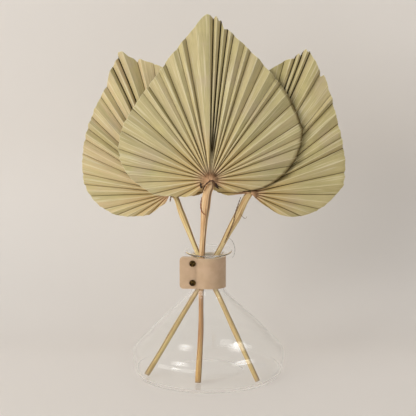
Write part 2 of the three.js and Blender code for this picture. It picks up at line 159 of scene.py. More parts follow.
def flask_side(inset):
    """The flask's side from its base to its rim, a given distance in from the outer surface."""
    base_round = BASE_ROUND - inset / 2
    foot = (FLASK_FLOOR if inset else 0) + base_round
    thin = inset * WIDE_PART_THINNER
    belly = SHOULDER_ROUND - thin
    neck = NECK_ROUND + inset
    flare = FLASK_HEIGHT - FLASK_WALL - FLARE_Z + inset
    belly_side = BELLY_RADIUS - thin
    low_middle = (belly_side, (foot + BELLY_Z) / 2)
    low_side = bend((BASE_RADIUS - thin, foot), low_middle, (belly_side, BELLY_Z), 8)
    meets = CONE_MEETS_ROUNDS_AT
    shoulder = arc(BELLY_RADIUS - SHOULDER_ROUND, BELLY_Z, belly, belly, 0, meets, 12)
    throat = arc(NECK_RADIUS + NECK_ROUND, NECK_FOOT_Z, neck, neck, 180 + meets, 180, 12)
    return [
        *arc(BASE_RADIUS - thin - base_round, foot, base_round, base_round, -90, 0, 8),
        *low_side[1:-1],
        *shoulder,
        *blown_cone(shoulder[-1], throat[0])[1:-1],
        *throat,
        *arc(NECK_RADIUS + FLARE_REACH, FLARE_Z, FLARE_REACH + inset, flare, 180, 180 - FLARE_TURN, 14),
    ]


outside = flask_side(0)
inside = flask_side(FLASK_WALL)
dent_falls, dent_bends, dent_ends = BASE_DENT_EDGE
lip = np.array([outside[-1], inside[-1]])
lip_middle = lip.mean(axis=0)
lip_radius = np.linalg.norm(lip[0] - lip_middle)
lip_start = math.degrees(math.atan2(*(lip[0] - lip_middle)[::-1]))
flask = turned(
    [
        (0, BASE_DENT),
        *bend((dent_falls, BASE_DENT), (dent_bends, BASE_DENT), (dent_ends, 0), 5),
        *outside,
        *arc(*lip_middle, lip_radius, lip_radius, lip_start, lip_start + 180, 8)[1:-1],
        *inside[::-1],
        (0, FLASK_FLOOR),
    ],
    FLASK_SIDES,
)
bpy.ops.object.shade_smooth_by_angle(angle=SMOOTH_UNDER)


def add(tree, kind, inputs={}, **settings):
    """A shader node with its settings. An input is a value, or another node's output to join it to."""
    made = tree.nodes.new("ShaderNode" + kind)
    for name, value in settings.items():
        setattr(made, name, value)
    for key, value in inputs.items():
        if isinstance(value, bpy.types.NodeSocket):
            tree.links.new(value, made.inputs[key])
        else:
            made.inputs[key].default_value = value
    return made


def figure(tree, how, first, second=0):
    """One sum with two values, such as ADD or MAXIMUM. Returns its output."""
    return add(tree, "Math", {0: first, 1: second}, operation=how).outputs[0]


def mix(tree, share, first, second, how="MIX"):
    """Two colours mixed by a share. Returns the colour output."""
    mixed = add(tree, "Mix", data_type="RGBA", blend_type=how)
    sockets = (mixed.inputs[0], mixed.inputs[6], mixed.inputs[7])
    for socket, value in zip(sockets, (share, first, second)):
        if isinstance(value, bpy.types.NodeSocket):
            tree.links.new(value, socket)
        else:
            socket.default_value = value
    return mixed.outputs[2]


def stretch(tree, value, low, high, new_low=0.0, new_high=1.0):
    """A value moved from one range to another and held inside it."""
    limits = {"Value": value, "From Min": low, "From Max": high, "To Min": new_low, "To Max": new_high}
    return add(tree, "MapRange", limits).outputs["Result"]


def tint(tree, colour, value, low, high, most, other):
    """A colour taken towards another, by up to a share, as a value goes from low to high."""
    return mix(tree, stretch(tree, value, low, high, 0, most), colour, other)


def noise(tree, place, scale, detail, roughness=0.5):
    """Soft clouds between about 0.3 and 0.7. Returns their value."""
    inputs = {"Vector": place, "Scale": scale, "Detail": detail, "Roughness": roughness}
    return add(tree, "TexNoise", inputs).outputs["Fac"]


def relief(tree, shader, height, strength, depth):
    """A fine relief on a material, as deep as the height's share of a depth."""
    bump = add(tree, "Bump", {"Height": height, "Strength": strength, "Distance": depth * MM})
    tree.links.new(bump.outputs["Normal"], shader.inputs["Normal"])


def let_light_through(tree, shader, share):
    """Lets light and sight pass a material by a share, as if it weren't there."""
    clear = add(tree, "BsdfTransparent")
    mixed = add(tree, "MixShader", {0: share, 1: shader.outputs["BSDF"], 2: clear.outputs["BSDF"]})
    tree.links.new(mixed.outputs["Shader"], tree.nodes["Material Output"].inputs["Surface"])


def new_material(name):
    material = bpy.data.materials.new(name)
    material.use_nodes = True
    tree = material.node_tree
    return material, tree, tree.nodes["Principled BSDF"]


glass, tree, shader = new_material("blown clear glass")
shader.inputs["Base Color"].default_value = GLASS_COLOUR
shader.inputs["Transmission Weight"].default_value = 1
shader.inputs["IOR"].default_value = GLASS_IOR
place = add(tree, "TexCoord").outputs["Object"]
haze = stretch(tree, noise(tree, place, 90, 3), 0.4, 0.75, *GLASS_HAZE)
tree.links.new(haze, shader.inputs["Roughness"])
relief(tree, shader, noise(tree, place, 28, 1.5), GLASS_RIPPLE, GLASS_RIPPLE_DEPTH)
rays = add(tree, "LightPath").outputs
passes = figure(tree, "MAXIMUM", rays["Is Shadow Ray"], rays["Is Diffuse Ray"])
bent_often = figure(tree, "GREATER_THAN", rays["Ray Depth"], GLASS_BENDS_LIGHT_UP_TO)
let_light_through(tree, shader, figure(tree, "MAXIMUM", passes, bent_often))
flask.data.materials.append(glass)
finish_piece(flask, "glass_flask")
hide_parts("flask")

# The stalks
# Each leaf's stalk is a dry, fibrous rod, a little wider than deep, with a groove along it. It was
# cut off square at the foot, stands on the flask's floor, leans in its neck and ends in its blade's
# hub. LEANS and TURNS give how far each leaf leans back and sideways, in degrees.
HUBS = {"leaf_front": (1.6, 15, 211.9), "leaf_left": (-40.7, 33, 193), "leaf_right": (45, 24, 195.2)}
LEANS = {"leaf_front": 12, "leaf_left": 13, "leaf_right": 13}
TURNS = {"leaf_front": 0, "leaf_left": -21, "leaf_right": 22}
STALK_ROUTES = {
    "leaf_front": [
        (-11.2, -55, 4.8), (-8.1, -29, 56.2), (-7.8, -12.6, 85.2), (-7.3, -6.3, 111.4),
        (-6.7, -2.2, 138.3), (-5.3, 3, 159.2), (-3.5, 8.3, 180.1), (-0.9, 12.2, 199.3),
    ],
    "leaf_left": [
        (52.7, -50.6, 5.5), (42.1, -38.5, 26.2), (29.2, -26.5, 51.7), (8.2, -6.4, 93.5),
        (-1.8, -1.4, 113.1), (-12.7, 4.4, 136), (-23.8, 13.6, 161.8), (-30.2, 21, 176.3),
    ],
    "leaf_right": [
        (-67, -30.5, 5.6), (-51.6, -21.4, 29.3), (-33.2, -11, 58.9), (-14.6, -0.6, 88.1),
        (-1.8, 4.7, 111.4), (11, 6.2, 134.6), (21.8, 11.2, 154.6), (31.5, 16.6, 171.4),
    ],
}
COMES_IN = {"leaf_front": 0, "leaf_left": 28, "leaf_right": -15}
STALK_HALF_WIDTHS = {
    "leaf_front": (3.3, 3.25, 3.1, 2.8, 2.9, 3.4, 5.4, 4.8),
    "leaf_left": (2.9, 2.9, 2.85, 2.75, 2.7, 2.8, 3.6, 3.2),
    "leaf_right": (3.2, 3.1, 2.9, 2.8, 2.85, 3.1, 4.5, 4.4),
}
STALK_COLOURS = {
    "leaf_front": ((0.52, 0.31, 0.13, 1), (0.62, 0.4, 0.2, 1)),
    "leaf_left": ((0.5, 0.42, 0.22, 1), (0.6, 0.46, 0.24, 1)),
    "leaf_right": ((0.5, 0.36, 0.17, 1), (0.62, 0.44, 0.21, 1)),
}
# Degrees round each stalk where its groove lies, turned to the stalk's shaded edge
STALK_GROOVES = {"leaf_front": 148, "leaf_left": 152, "leaf_right": 28}
STALK_TINTS = {
    "leaf_front": ((1.23, 1.26, 1.4, 1), (0.67, 0.516, 0.3, 1), (0.96, 0.9, 0.54, 1)),
    "leaf_left": ((1.36, 1.32, 1.22, 1), (0.92, 0.82, 0.59, 1), (0.92, 0.82, 0.59, 1)),
    "leaf_right": ((1.25, 1.28, 1.3, 1), (0.9, 0.88, 0.57, 1), (0.9, 0.88, 0.57, 1)),
}
STALK_RUSSET = (0.34, 0.17, 0.06, 1)
STALK_STRAW = (0.66, 0.54, 0.29, 1)
STALK_PALE_STRANDS = (0.78, 0.6, 0.36, 1)
GROOVE_PAINTED_SHADE = (0.09, 0.045, 0.02, 1)
STALK_CUT_COLOUR = (0.3, 0.22, 0.14, 1)
STALK_TINT_HEIGHTS = (110, 85)
STALK_FOOT_TINT_HEIGHTS = (50, 15)
STALK_CUT_HEIGHT = 3.5
STALK_DEPTH = 0.86
STALK_SMOOTH_UNDER = math.radians(50)
STALK_SIDES = 40
STALK_RINGS = 99
STALK_TOP_REACH = 6.5
STALK_TOP_PAST_HUB = 2
STRAIGHT_SHARE = 0.97
ROUND_TOP_SHARE = 0.03
THINNEST_SHARE = 0.02
ROD_END_RINGS = (0.25, 0.35)
GROOVE_DEPTH = 0.45
GROOVE_WIDTH = 13
GROOVE_WANDER = 0.25
GROOVE_WANDER_LENGTH = 40
RIB_COUNTS = (9, 13, 21)
RIB_HEIGHT = 0.07
RIB_TWIST_LENGTH = 60
LONG_SWELL = 0.05
LONG_SWELL_LENGTH = 17
SHORT_SWELL = 0.03
SHORT_SWELL_LENGTH = 7.3
EVEN_AT = 125
EVEN_REACH = 22


def smooth_route(places, steps=40):
    """A smooth line through the places, with centripetal knots, as close points."""
    places = [np.array(place, float) for place in places]
    places = [2 * places[0] - places[1], *places, 2 * places[-1] - places[-2]]
    line = []
    for a, b, c, d in zip(places, places[1:], places[2:], places[3:]):
        before, here, after = (math.sqrt(np.linalg.norm(q - p)) for p, q in ((a, b), (b, c), (c, d)))
        leave = ((b - a) / before - (c - a) / (before + here) + (c - b) / here) * here
        arrive = ((c - b) / here - (d - b) / (here + after) + (d - c) / after) * here
        for t in np.linspace(0, 1, steps, endpoint=False):
            line.append(
                (2 * t**3 - 3 * t**2 + 1) * b + (t**3 - 2 * t**2 + t) * leave
                + (3 * t**2 - 2 * t**3) * c + (t**3 - t**2) * arrive
            )
    return np.array([*line, places[-2]])


def leaf_turn(name):
    return Euler((-math.radians(LEANS[name]), math.radians(TURNS[name]), 0)).to_matrix()


def store(piece, name, values):
    """Keeps one value or one (x, y, z) a vertex on the mesh, for its material."""
    values = np.asarray(values, np.float32)
    kind = "FLOAT" if values.ndim == 1 else "FLOAT_VECTOR"
    kept = piece.data.attributes.new(name, kind, "POINT")
    kept.data.foreach_set("value" if values.ndim == 1 else "vector", values.ravel())


def select_edges(piece, wanted):
    """In edit mode, selects only the edges whose two ends pass a test."""
    bpy.ops.mesh.select_all(action="DESELECT")
    bpy.ops.mesh.select_mode(type="EDGE")
    bpy.ops.object.mode_set(mode="OBJECT")
    for edge in piece.data.edges:
        start, end = (piece.data.vertices[index].co for index in edge.vertices)
        edge.select = wanted(start, end)
    bpy.ops.object.mode_set(mode="EDIT")


def rod(sides, rings):
    """A rod of radius 1 and length 1 along Z from the origin, with closed ends and even rings."""
    deselect()
    bpy.ops.mesh.primitive_cylinder_add(vertices=sides, radius=1, depth=1, location=(0, 0, 0.5))
    piece = bpy.context.object
    bpy.ops.object.transform_apply(location=True)
    bpy.ops.object.mode_set(mode="EDIT")
    select_edges(piece, lambda start, end: abs(start.z - end.z) > 0.5)
    bpy.ops.mesh.subdivide(number_cuts=rings)
    bpy.ops.mesh.select_all(action="DESELECT")
    bpy.ops.mesh.select_mode(type="FACE")
    bpy.ops.object.mode_set(mode="OBJECT")
    for face in piece.data.polygons:
        face.select = abs(face.normal.z) > 0.9
    bpy.ops.object.mode_set(mode="EDIT")
    for inset in ROD_END_RINGS:
        bpy.ops.mesh.inset(thickness=inset)
    bpy.ops.mesh.poke()
    bpy.ops.object.mode_set(mode="OBJECT")
    return piece


def steps_on(line):
    """The lengths between the points of a line."""
    return np.linalg.norm(np.diff(line, axis=0), axis=1)


def reach_on(line):
    """How far along a line each of its points lies."""
    return np.concatenate([[0], np.cumsum(steps_on(line))])


def along_line(line, distance):
    """Places on a line at distances from its start, with the directions to its side and its face."""
    reach = reach_on(line)
    way = np.gradient(line, reach, axis=0)
    way /= np.linalg.norm(way, axis=1)[:, None]
    centre = np.stack([np.interp(distance, reach, line[:, axis]) for axis in range(3)], 1)
    heading = np.stack([np.interp(distance, reach, way[:, axis]) for axis in range(3)], 1)
    side = np.cross((0, -1, 0), heading)
    side /= np.linalg.norm(side, axis=1)[:, None]
    return centre, side, np.cross(heading, side)


def mesh_places(piece):
    places = np.zeros(len(piece.data.vertices) * 3)
    piece.data.vertices.foreach_get("co", places)
    return places.reshape(-1, 3)


def move_mesh(piece, places):
    piece.data.vertices.foreach_set("co", np.asarray(places, np.float32).ravel())
    piece.data.update()


# Long fibres that run along one axis of a piece's own coordinates, in millimetres
fibres = bpy.data.node_groups.new("long fibres", "ShaderNodeTree")
for name in ("Place", "Across"):
    fibres.interface.new_socket(name, in_out="INPUT", socket_type="NodeSocketVector")
for name in ("Strands", "Streaks", "Blotches"):
    fibres.interface.new_socket(name, in_out="OUTPUT", socket_type="NodeSocketFloat")
entry = fibres.nodes.new("NodeGroupInput").outputs
leave = fibres.nodes.new("NodeGroupOutput").inputs
scaled = add(fibres, "VectorMath", {0: entry["Place"], 1: entry["Across"]}, operation="MULTIPLY")
scaled = scaled.outputs["Vector"]
strand = noise(fibres, scaled, 1, 4, 0.65)
streak = noise(fibres, scaled, 0.42, 2)
blotch = noise(fibres, scaled, 0.16, 3)
fibres.links.new(stretch(fibres, strand, 0.3, 0.7), leave["Strands"])
fibres.links.new(stretch(fibres, streak, 0.36, 0.64), leave["Streaks"])
fibres.links.new(stretch(fibres, blotch, 0.32, 0.68), leave["Blotches"])


def fibre_outputs(tree, attribute, scale):
    """The long fibres on the coordinates kept under an attribute's name, scaled along each axis."""
    place = add(tree, "Attribute", attribute_name=attribute).outputs["Vector"]
    group = add(tree, "Group", node_tree=fibres)
    tree.links.new(place, group.inputs["Place"])
    group.inputs["Across"].default_value = scale
    return group.outputs["Strands"], group.outputs["Streaks"], group.outputs["Blotches"], place


def kept_value(tree, name):
    """The value that a mesh keeps for each vertex or face under a name."""
    return add(tree, "Attribute", attribute_name=name).outputs["Fac"]


def stalk_material(name):
    low, high = STALK_COLOURS[name]
    dark = tuple(0.5 * part for part in low[:3]) + (1,)
    upper_tint, low_tint, foot_tint = STALK_TINTS[name]
    material, tree, shader = new_material(f"dry stalk of {name}")
    strands, streaks, blotches, place = fibre_outputs(tree, "straight", (1.6, 1.6, 0.06))
    height = add(tree, "SeparateXYZ", {0: place}).outputs["Z"]
    colour = mix(tree, blotches, low, high)
    colour = tint(tree, colour, streaks, 0.45, 0, 0.7, STALK_RUSSET)
    colour = tint(tree, colour, streaks, 0.6, 1, 0.55, STALK_STRAW)
    colour = tint(tree, colour, strands, 0.35, 0, 0.8, dark)
    colour = tint(tree, colour, strands, 0.7, 1, 0.5, STALK_PALE_STRANDS)
    # Painted shade: the groove is darkened nearly to black, darkening each stalk's shaded edge
    colour = tint(tree, colour, kept_value(tree, "groove"), 0, 1, 0.85, GROOVE_PAINTED_SHADE)
    shift = mix(tree, stretch(tree, height, *STALK_TINT_HEIGHTS), upper_tint, low_tint)
    shift = mix(tree, stretch(tree, height, *STALK_FOOT_TINT_HEIGHTS), shift, foot_tint)
    colour = mix(tree, 1, colour, shift, "MULTIPLY")
    colour = tint(tree, colour, height, STALK_CUT_HEIGHT, 0, 0.55, STALK_CUT_COLOUR)
    tree.links.new(colour, shader.inputs["Base Color"])
    tree.links.new(stretch(tree, strands, 0, 1, 0.75, 0.45), shader.inputs["Roughness"])
    relief(tree, shader, strands, 0.55, 0.25)
    return material


for number, (name, hub) in enumerate(HUBS.items()):
    draw = np.random.default_rng(11 + number)
    beside = math.radians(COMES_IN[name])
    comes_from = np.array(leaf_turn(name) @ Vector((math.sin(beside), 0, -math.cos(beside))))
    top = (hub + STALK_TOP_REACH * comes_from, hub - STALK_TOP_PAST_HUB * comes_from)
    line = smooth_route([*STALK_ROUTES[name], *top])
    length = steps_on(line).sum()

    stalk = rod(STALK_SIDES, STALK_RINGS)
    flat = mesh_places(stalk)
    up = flat[:, 2]
    radius = np.hypot(flat[:, 0], flat[:, 1])
    angle = np.arctan2(flat[:, 1], flat[:, 0])
    half_widths = STALK_HALF_WIDTHS[name]
    round_from = 1 - half_widths[-1] / length
    rounded = up > STRAIGHT_SHARE
    over_top = (up - STRAIGHT_SHARE) / ROUND_TOP_SHARE * math.pi / 2
    rising = round_from + (1 - round_from) * np.sin(over_top)
    along = np.where(rounded, rising, up / STRAIGHT_SHARE * round_from)
    size = np.where(rounded, np.cos(over_top), 1)
    half = np.interp(along, np.linspace(0, 1, len(half_widths)), half_widths)
    distance = along * length
    even = bell(distance - EVEN_AT, EVEN_REACH)
    ribs = sum(
        np.sin(count * angle + draw.uniform(0, 6.3) + draw.uniform(-1, 1) * distance / RIB_TWIST_LENGTH)
        for count in RIB_COUNTS
    )
    swell = LONG_SWELL * np.sin(distance / LONG_SWELL_LENGTH + draw.uniform(0, 6))
    swell += SHORT_SWELL * np.sin(distance / SHORT_SWELL_LENGTH)
    groove_wander = GROOVE_WANDER * np.sin(distance / GROOVE_WANDER_LENGTH)
    groove_at = math.radians(STALK_GROOVES[name]) + groove_wander
    off_groove = np.degrees(np.abs(np.angle(np.exp(1j * (angle - groove_at)))))
    groove = bell(off_groove, GROOVE_WIDTH) * (radius > 0.9)
    width = half * (1 + (swell - LONG_SWELL) * (1 - even))
    width = width + RIB_HEIGHT * (ribs - 2) - GROOVE_DEPTH * groove
    width = width * radius * np.maximum(size, THINNEST_SHARE)
    centre, side, face = along_line(line, distance)
    bent = centre + side * (width * np.cos(angle))[:, None]
    bent += face * (width * STALK_DEPTH * np.sin(angle))[:, None]
    store(stalk, "straight", np.stack([width * np.cos(angle), width * np.sin(angle), distance], 1))
    store(stalk, "groove", groove)
    move_mesh(stalk, bent * MM)
    face_outwards()
    bpy.ops.object.shade_smooth_by_angle(angle=STALK_SMOOTH_UNDER)
    stalk.data.materials.append(stalk_material(name))
    finish_piece(stalk, f"stalk_of_{name}")
    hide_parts(f"{name}_stalk")

# The blades
# Each blade is one dry sheet that grew on its stalk, pleated from the hub outwards and cut to a spade.
# The pleats are tight by the hub, stay shut as slits by the midrib and open towards the rim. Painted
# shade darkens the slits and the facets beside them, and painted highlights run along the ridges. The
# front blade's right edge has turned back, with a painted shadow along it.

# Degrees from the midrib, with the reach of the rim there
OUTLINES = {
    "leaf_front": [
        (-134, 21), (-128, 29), (-121, 36), (-112, 46), (-106, 61), (-98, 71), (-90, 84), (-81, 96),
        (-72, 104), (-60, 110), (-46, 114), (-33, 121), (-23, 131), (-14, 145), (-9, 156), (-6, 164),
        (-3, 174), (-1.2, 179), (0, 178), (1, 173), (2, 177), (2.8, 171.5), (3.6, 173), (5, 163),
        (6.2, 164), (10, 156), (17, 146), (25, 137), (32, 131), (42, 125), (52, 119), (62, 114),
        (70, 104), (76, 96), (81, 89), (87, 79), (94, 67), (99, 57), (107, 40), (121, 25),
    ],
    "leaf_left": [
        (-129, 13), (-119, 20), (-115, 32), (-102, 47), (-92, 64), (-83, 76), (-74, 87), (-64, 96),
        (-51, 103), (-37, 112), (-25, 121), (-17, 129), (-11, 136), (-7, 147), (-4.6, 152), (-3, 155),
        (-1, 157.5), (-0.2, 164), (1.5, 163.5), (3, 156), (5, 151.5), (6, 146), (7.2, 150), (12, 143),
        (18, 136), (25, 129), (34, 119), (46, 112), (60, 106), (71, 94), (80, 82), (88, 70),
        (97, 57), (106, 40), (118, 25),
    ],
    "leaf_right": [
        (-118, 24), (-106, 40), (-97, 57), (-88, 70), (-80, 82), (-71, 94), (-60, 104), (-46, 111),
        (-34, 118), (-25, 125), (-18, 131), (-12.5, 135), (-10, 141), (-6, 150), (-3.4, 154),
        (-2.2, 161), (-1.4, 158), (-0.2, 168), (0.8, 165), (1.6, 167), (4, 162), (8, 154), (9.2, 151.5),
        (10.4, 146.5), (10.8, 152), (12, 150.5), (16, 142), (21, 135), (24.5, 129.5), (29, 124.5),
        (33, 120.5), (41, 114.5), (52, 109), (64, 103), (71, 93.5), (78, 84), (84, 76), (90, 66),
        (97, 55), (103, 42), (107, 25), (111, 14),
    ],
}
# Degrees from the midrib, with the height of the crease there
CREASES = {
    "leaf_front": [
        (-134, -0.5), (-126, 1.4), (-118, -1.4), (-110, 1.4), (-104, -1.6), (-98, 1.2), (-92, -1.8),
        (-86, 1.5), (-80, -1.7), (-75, 1.1), (-71, -1.8), (-66, 1.4), (-61, -2.1), (-54, 1.8),
        (-48, -2.4), (-42, 1.4), (-38, -0.2), (-35.2, 1.6), (-33.4, -2), (-28, 1.4), (-25, -0.4),
        (-22.4, 1.9), (-20.5, -1.9), (-15.5, 1.5), (-13, -0.2), (-11, 1.9), (-9.3, -1.8), (-5, 1.2),
        (-0.4, 1.5), (1, -1.6), (2.2, 0.9), (3.7, -1.8), (4.9, 0.7), (6.3, -1.7), (7.5, 0.7),
        (8.8, -1.2), (11.5, 1.8), (14, -0.6), (15.5, 1.2), (17.2, -1.9), (21, 1.9), (24.8, -1.6),
        (29, 1.8), (33, -0.4), (34.5, 1.2), (36.6, -2), (42, 1.8), (47.5, -2), (52, 1.4), (57.5, -1.6),
        (61, 0.8), (64.5, -1), (67, 0.8), (70, -1.8), (75.5, 1.4), (80.5, -1.8), (85.5, 1.2),
        (91, -1.6), (98, 1.2), (104.5, -1.5), (113, 1.2), (121, -0.5),
    ],
    "leaf_left": [
        (-129, -0.4), (-121, 1.2), (-114, -1.5), (-108, 1.2), (-102, -1.4), (-97, 1.3), (-91.5, -1.6),
        (-87.5, 1.2), (-83, -1.6), (-77, 1.4), (-72, -1.5), (-68, 1.1), (-64, -1.5), (-60.5, 1),
        (-57, -1.4), (-51, 1.6), (-46, -1.2), (-42, 1.2), (-38, -1), (-35, 1), (-32, -1.7),
        (-29, 1.5), (-25.8, -1.8), (-21, 1.6), (-16, -1.4), (-13.5, 1.1), (-11.2, -1.5), (-6.4, 1.8),
        (-4.8, -1.7), (-2.6, 1.2), (-1, -1.8), (1.6, 1.9), (6, -2), (7.6, 1.6), (13, 0.6), (18, 1.8),
        (21, -1.8), (27, 1.6), (33, -1.8), (38, 1.5), (43, -1.7), (49, 1.5), (55, -1.7), (61, 1.4),
        (67, -1.6), (73, 1.4), (79, -1.6), (86, 1.4), (93, -1.5), (101, 1.2), (109, -1.4), (118, 0.8),
    ],
    "leaf_right": [
        (-118, 0.6), (-110, -1.4), (-102, 1.2), (-94, -1.5), (-87, 1.3), (-80, -1.6), (-73, 1.4),
        (-67, -1.6), (-61, 1.4), (-55, -1.7), (-49, 1.5), (-43, -1.7), (-38, 1.4), (-33, -1.7),
        (-28, 1.5), (-23, -1.7), (-19, 1.4), (-14, -1.6), (-9.5, 1.4), (-7, -1.3), (-4.6, 1),
        (-3, -1.2), (-2, 0.6), (-0.9, -1.8), (0.5, 0.6), (1.8, -1.6), (4.4, 1.4), (7.6, 1.7),
        (9.3, -1.6), (14.8, 1.2), (18.6, 0.6), (20, 1.6), (21.8, -1.9), (26.5, 1.5), (31, -2),
        (34.5, 1.2), (37.5, 0.3), (40.5, 1.5), (43, -1.9), (49, 1.6), (56, -1.7), (63, 1.5),
        (70, -1.6), (76, 1.4), (82, -1.5), (87.5, 1.2), (93, -1.5), (99, 1.2), (105, -1.2), (111, 0.6),
    ],
}
BLADE_COLOURS = {
    "leaf_front": ((0.46, 0.4, 0.2, 1), (0.545, 0.455, 0.245, 1)),
    "leaf_left": ((0.505, 0.43, 0.215, 1), (0.65, 0.505, 0.29, 1)),
    "leaf_right": ((0.455, 0.39, 0.18, 1), (0.545, 0.455, 0.235, 1)),
}
DARK_STRANDS = (0.24, 0.2, 0.09, 1)
PALE_STRANDS = (0.66, 0.6, 0.38, 1)
PALE_STREAKS = (0.74, 0.67, 0.46, 1)
FADED_PATCHES = (0.5, 0.4, 0.27, 1)
YELLOW_PATCHES = (0.6, 0.52, 0.24, 1)
OCHRE_BY_HUB = (0.6, 0.4, 0.15, 1)
PALE_RIM_COLOUR = (0.75, 0.7, 0.45, 1)
PAINTED_VALLEY_SHADE = (0.28, 0.17, 0.025, 1)
HUB_COLOUR = (0.7, 0.43, 0.25, 1)
PAINTED_SLIT_SHADE = (0.03, 0.016, 0.004, 1)
PAINTED_SLIT_SHADE_BY_HUB = (0.13, 0.05, 0.016, 1)
PAINTED_RIDGE_HIGHLIGHT = (0.76, 0.68, 0.43, 1)
BLADE_GLOSS = 0.15
BLADE_SEEDS = {"leaf_front": 21, "leaf_right": 23, "leaf_left": 22}
BLADE_THICK = 0.5
BLADE_SMOOTH_UNDER = math.radians(10)
BLADE_INNER = 0.8
BLADE_ROWS = 46
ROWS_CLOSER_BY_HUB = 1.25
COLUMN_WIDTH = 0.5
LEAST_COLUMNS = 3
ROOM_FOR_SLIT = 0.5
ROOM_FOR_RIDGE = 0.25
RIM_WAVE = 0.35
RIM_WAVES_A_DEGREE = 1.3
RIM_FRAY = 0.12
CREASE_WANDER = 0.3
WANDERS_A_DEGREE = 0.12
WANDER_LENGTH = 28
WANDERS_FULLY_AT = 40
CREASE_FULL_AT = 100
CREASE_GROWTH_AFTER = 0.3
PLEAT_DEPTH = 1.3
HUB_TIGHTNESS = 3.4
HUB_TIGHT_TO = 28
KNOB_RADIUS = 8
KNOB_RISE = 4.2
FOLDED_AT = {"leaf_front": 3.6, "leaf_left": -1.5, "leaf_right": 0}
FOLDED_WIDTH = 5.5
FOLDS_CLOSE = (18, 45)
FOLDS_FLATTER = 0.55
SLIT_HALF = 0.7
SLIT_WIDER_BY_HUB = 0.4
SLIT_WIDER_TO = 35
SLIT_WIDER_IN_FOLDS = 0.7
SLIT_BOTTOM = 0.75
SLIT_DEPTH = 1.6
SLIT_DEPTH_IN_FOLDS = 3.4
SLIT_DEPTH_VARIES = (0.7, 1.2)
SLIT_DEPTH_LEAST = 0.4
SLIT_DEPTH_AT_RIM = 0.45
SLIT_FULLY_DEEP = (25, 40)
SLIT_SHALLOWER_OVER = 90
SLIT_STARTS = (1.5, 6.5)
SLIT_STRENGTH = {"leaf_front": 1.1, "leaf_left": 0.72, "leaf_right": 1.25}
# How dark the painted shade in the slits is, by radius, crease and fold
SLIT_DARK_TO = 85
SLIT_DARK_AT_RIM = 0.6
SLIT_DARK_VARIES = (0.85, 1.35)
FOLDS_DARK_FURTHER = 1.5
FOLDS_DARKER = 0.5
OPEN_FOLDS_PALER = 0.35
FULL_VALLEY = 1.9
FAINTEST_SLIT = 0.3
FAINTER_AT_SIDES = 0.45
FAINTER_PAST = (50, 70)
SHADE_HALF = 1.25
SHADE_TO = 70
SHADE_FAR = 0.2
RIDGE_HALF = 0.5
RIDGE_STARTS = (4, 16)
FACETS_SWELL = (-0.2, 0.35)
FACETS_SWELL_AT = 60
FACETS_SWELL_MOST = 1.3
CRUMPLES = 0.4
CRUMPLES_A_DEGREE = 0.35
CRUMPLE_LENGTH = 16
CRUMPLES_FULL_AT = 80
FINE_CRUMPLES = 0.045
FINE_A_DEGREE = 6
FINE_LENGTH = 40
FINE_FULL_AT = 60
FINE_WAVES = 7
SIDEWAYS_SWEEP = {"leaf_front": (0.06, 0.09), "leaf_left": (0.04, 0), "leaf_right": (-0.04, 0.04)}
RIM_CURL = {"leaf_front": 5, "leaf_left": 1.5, "leaf_right": 1.5}
CURL_FROM = 0.45
CURL_ENDS_BY = (90, 112)
EDGE_TURNED_BACK = {"leaf_front": 5, "leaf_left": 0.5, "leaf_right": 0.5}
EDGE_SHADOW_WHERE_BACK = 5
EDGE_SHADOW_DARKNESS = 0.75
EDGE_WIDTH = 3.4
EDGE_TURNS_AT = (28, 50, 97, 107)
EDGE_TURN_SHARES = (0, 1, 1, 0.25)
BLADES_APART = 6
LOOKED_FOR_FROM = 40
PUSH_SPREADS = 80


def crease_half(is_valley, folded, radius):
    """Half the width of a crease at each radius."""
    if is_valley:
        wide = SLIT_HALF + SLIT_WIDER_BY_HUB * np.exp(-radius / SLIT_WIDER_TO)
        return wide * (1 + SLIT_WIDER_IN_FOLDS * folded)
    return np.full_like(radius, RIDGE_HALF)


def row_reaches(rims, shares):
    """How far out each row of a fan lies on each of its columns."""
    return BLADE_INNER + (rims[:, None] - BLADE_INNER) * shares[None, :]


def fan_columns(places, valleys, folded, outline, shares):
    """Where each column of a fan lies on its way out, in degrees, with the facet that follows it."""
    columns = []
    facets = []
    radii = np.maximum(row_reaches(np.interp(places, *np.array(outline).T), shares), 2)
    halves = [np.degrees(crease_half(*crease) / crease[-1]) for crease in zip(valleys, folded, radii)]
    rooms = np.where(valleys, ROOM_FOR_SLIT, ROOM_FOR_RIDGE)
    for number, (at, next_at) in enumerate(zip(places, places[1:])):
        near = np.minimum(halves[number], rooms[number] * (next_at - at))
        far = np.minimum(halves[number + 1], rooms[number + 1] * (next_at - at))
        count = max(LEAST_COLUMNS, round((next_at - at) / COLUMN_WIDTH))
        columns += [np.full_like(shares, at), at + SLIT_BOTTOM * near]
        for share in np.linspace(0, 1, count):
            columns.append(at + near + (next_at - at - near - far) * share)
        columns.append(next_at - SLIT_BOTTOM * far)
        facets += [number] * (count + 3)
    columns.append(np.full_like(shares, places[-1]))
    return np.array(columns), np.array([*facets, facets[-1]])


def sheet_of(columns, rows):
    """A flat grid with a vertex for each column and row, and their numbers for each vertex."""
    deselect()
    bpy.ops.mesh.primitive_grid_add(x_subdivisions=columns - 1, y_subdivisions=rows - 1, size=1)
    piece = bpy.context.object
    places = mesh_places(piece) + 0.5
    column = np.rint(places[:, 0] * (columns - 1)).astype(int)
    row = np.rint(places[:, 1] * (rows - 1)).astype(int)
    return piece, column, row


def drift(draw, across, along, count=5):
    """A soft wave over two directions, between about -1 and 1, with no fixed repeat."""
    total = 0
    for _ in range(count):
        turn = draw.uniform(0, 6.3)
        total = total + np.sin(draw.uniform(0.5, 1.6) * across + draw.uniform(-1, 1) * along + turn)
    return total / count**0.5


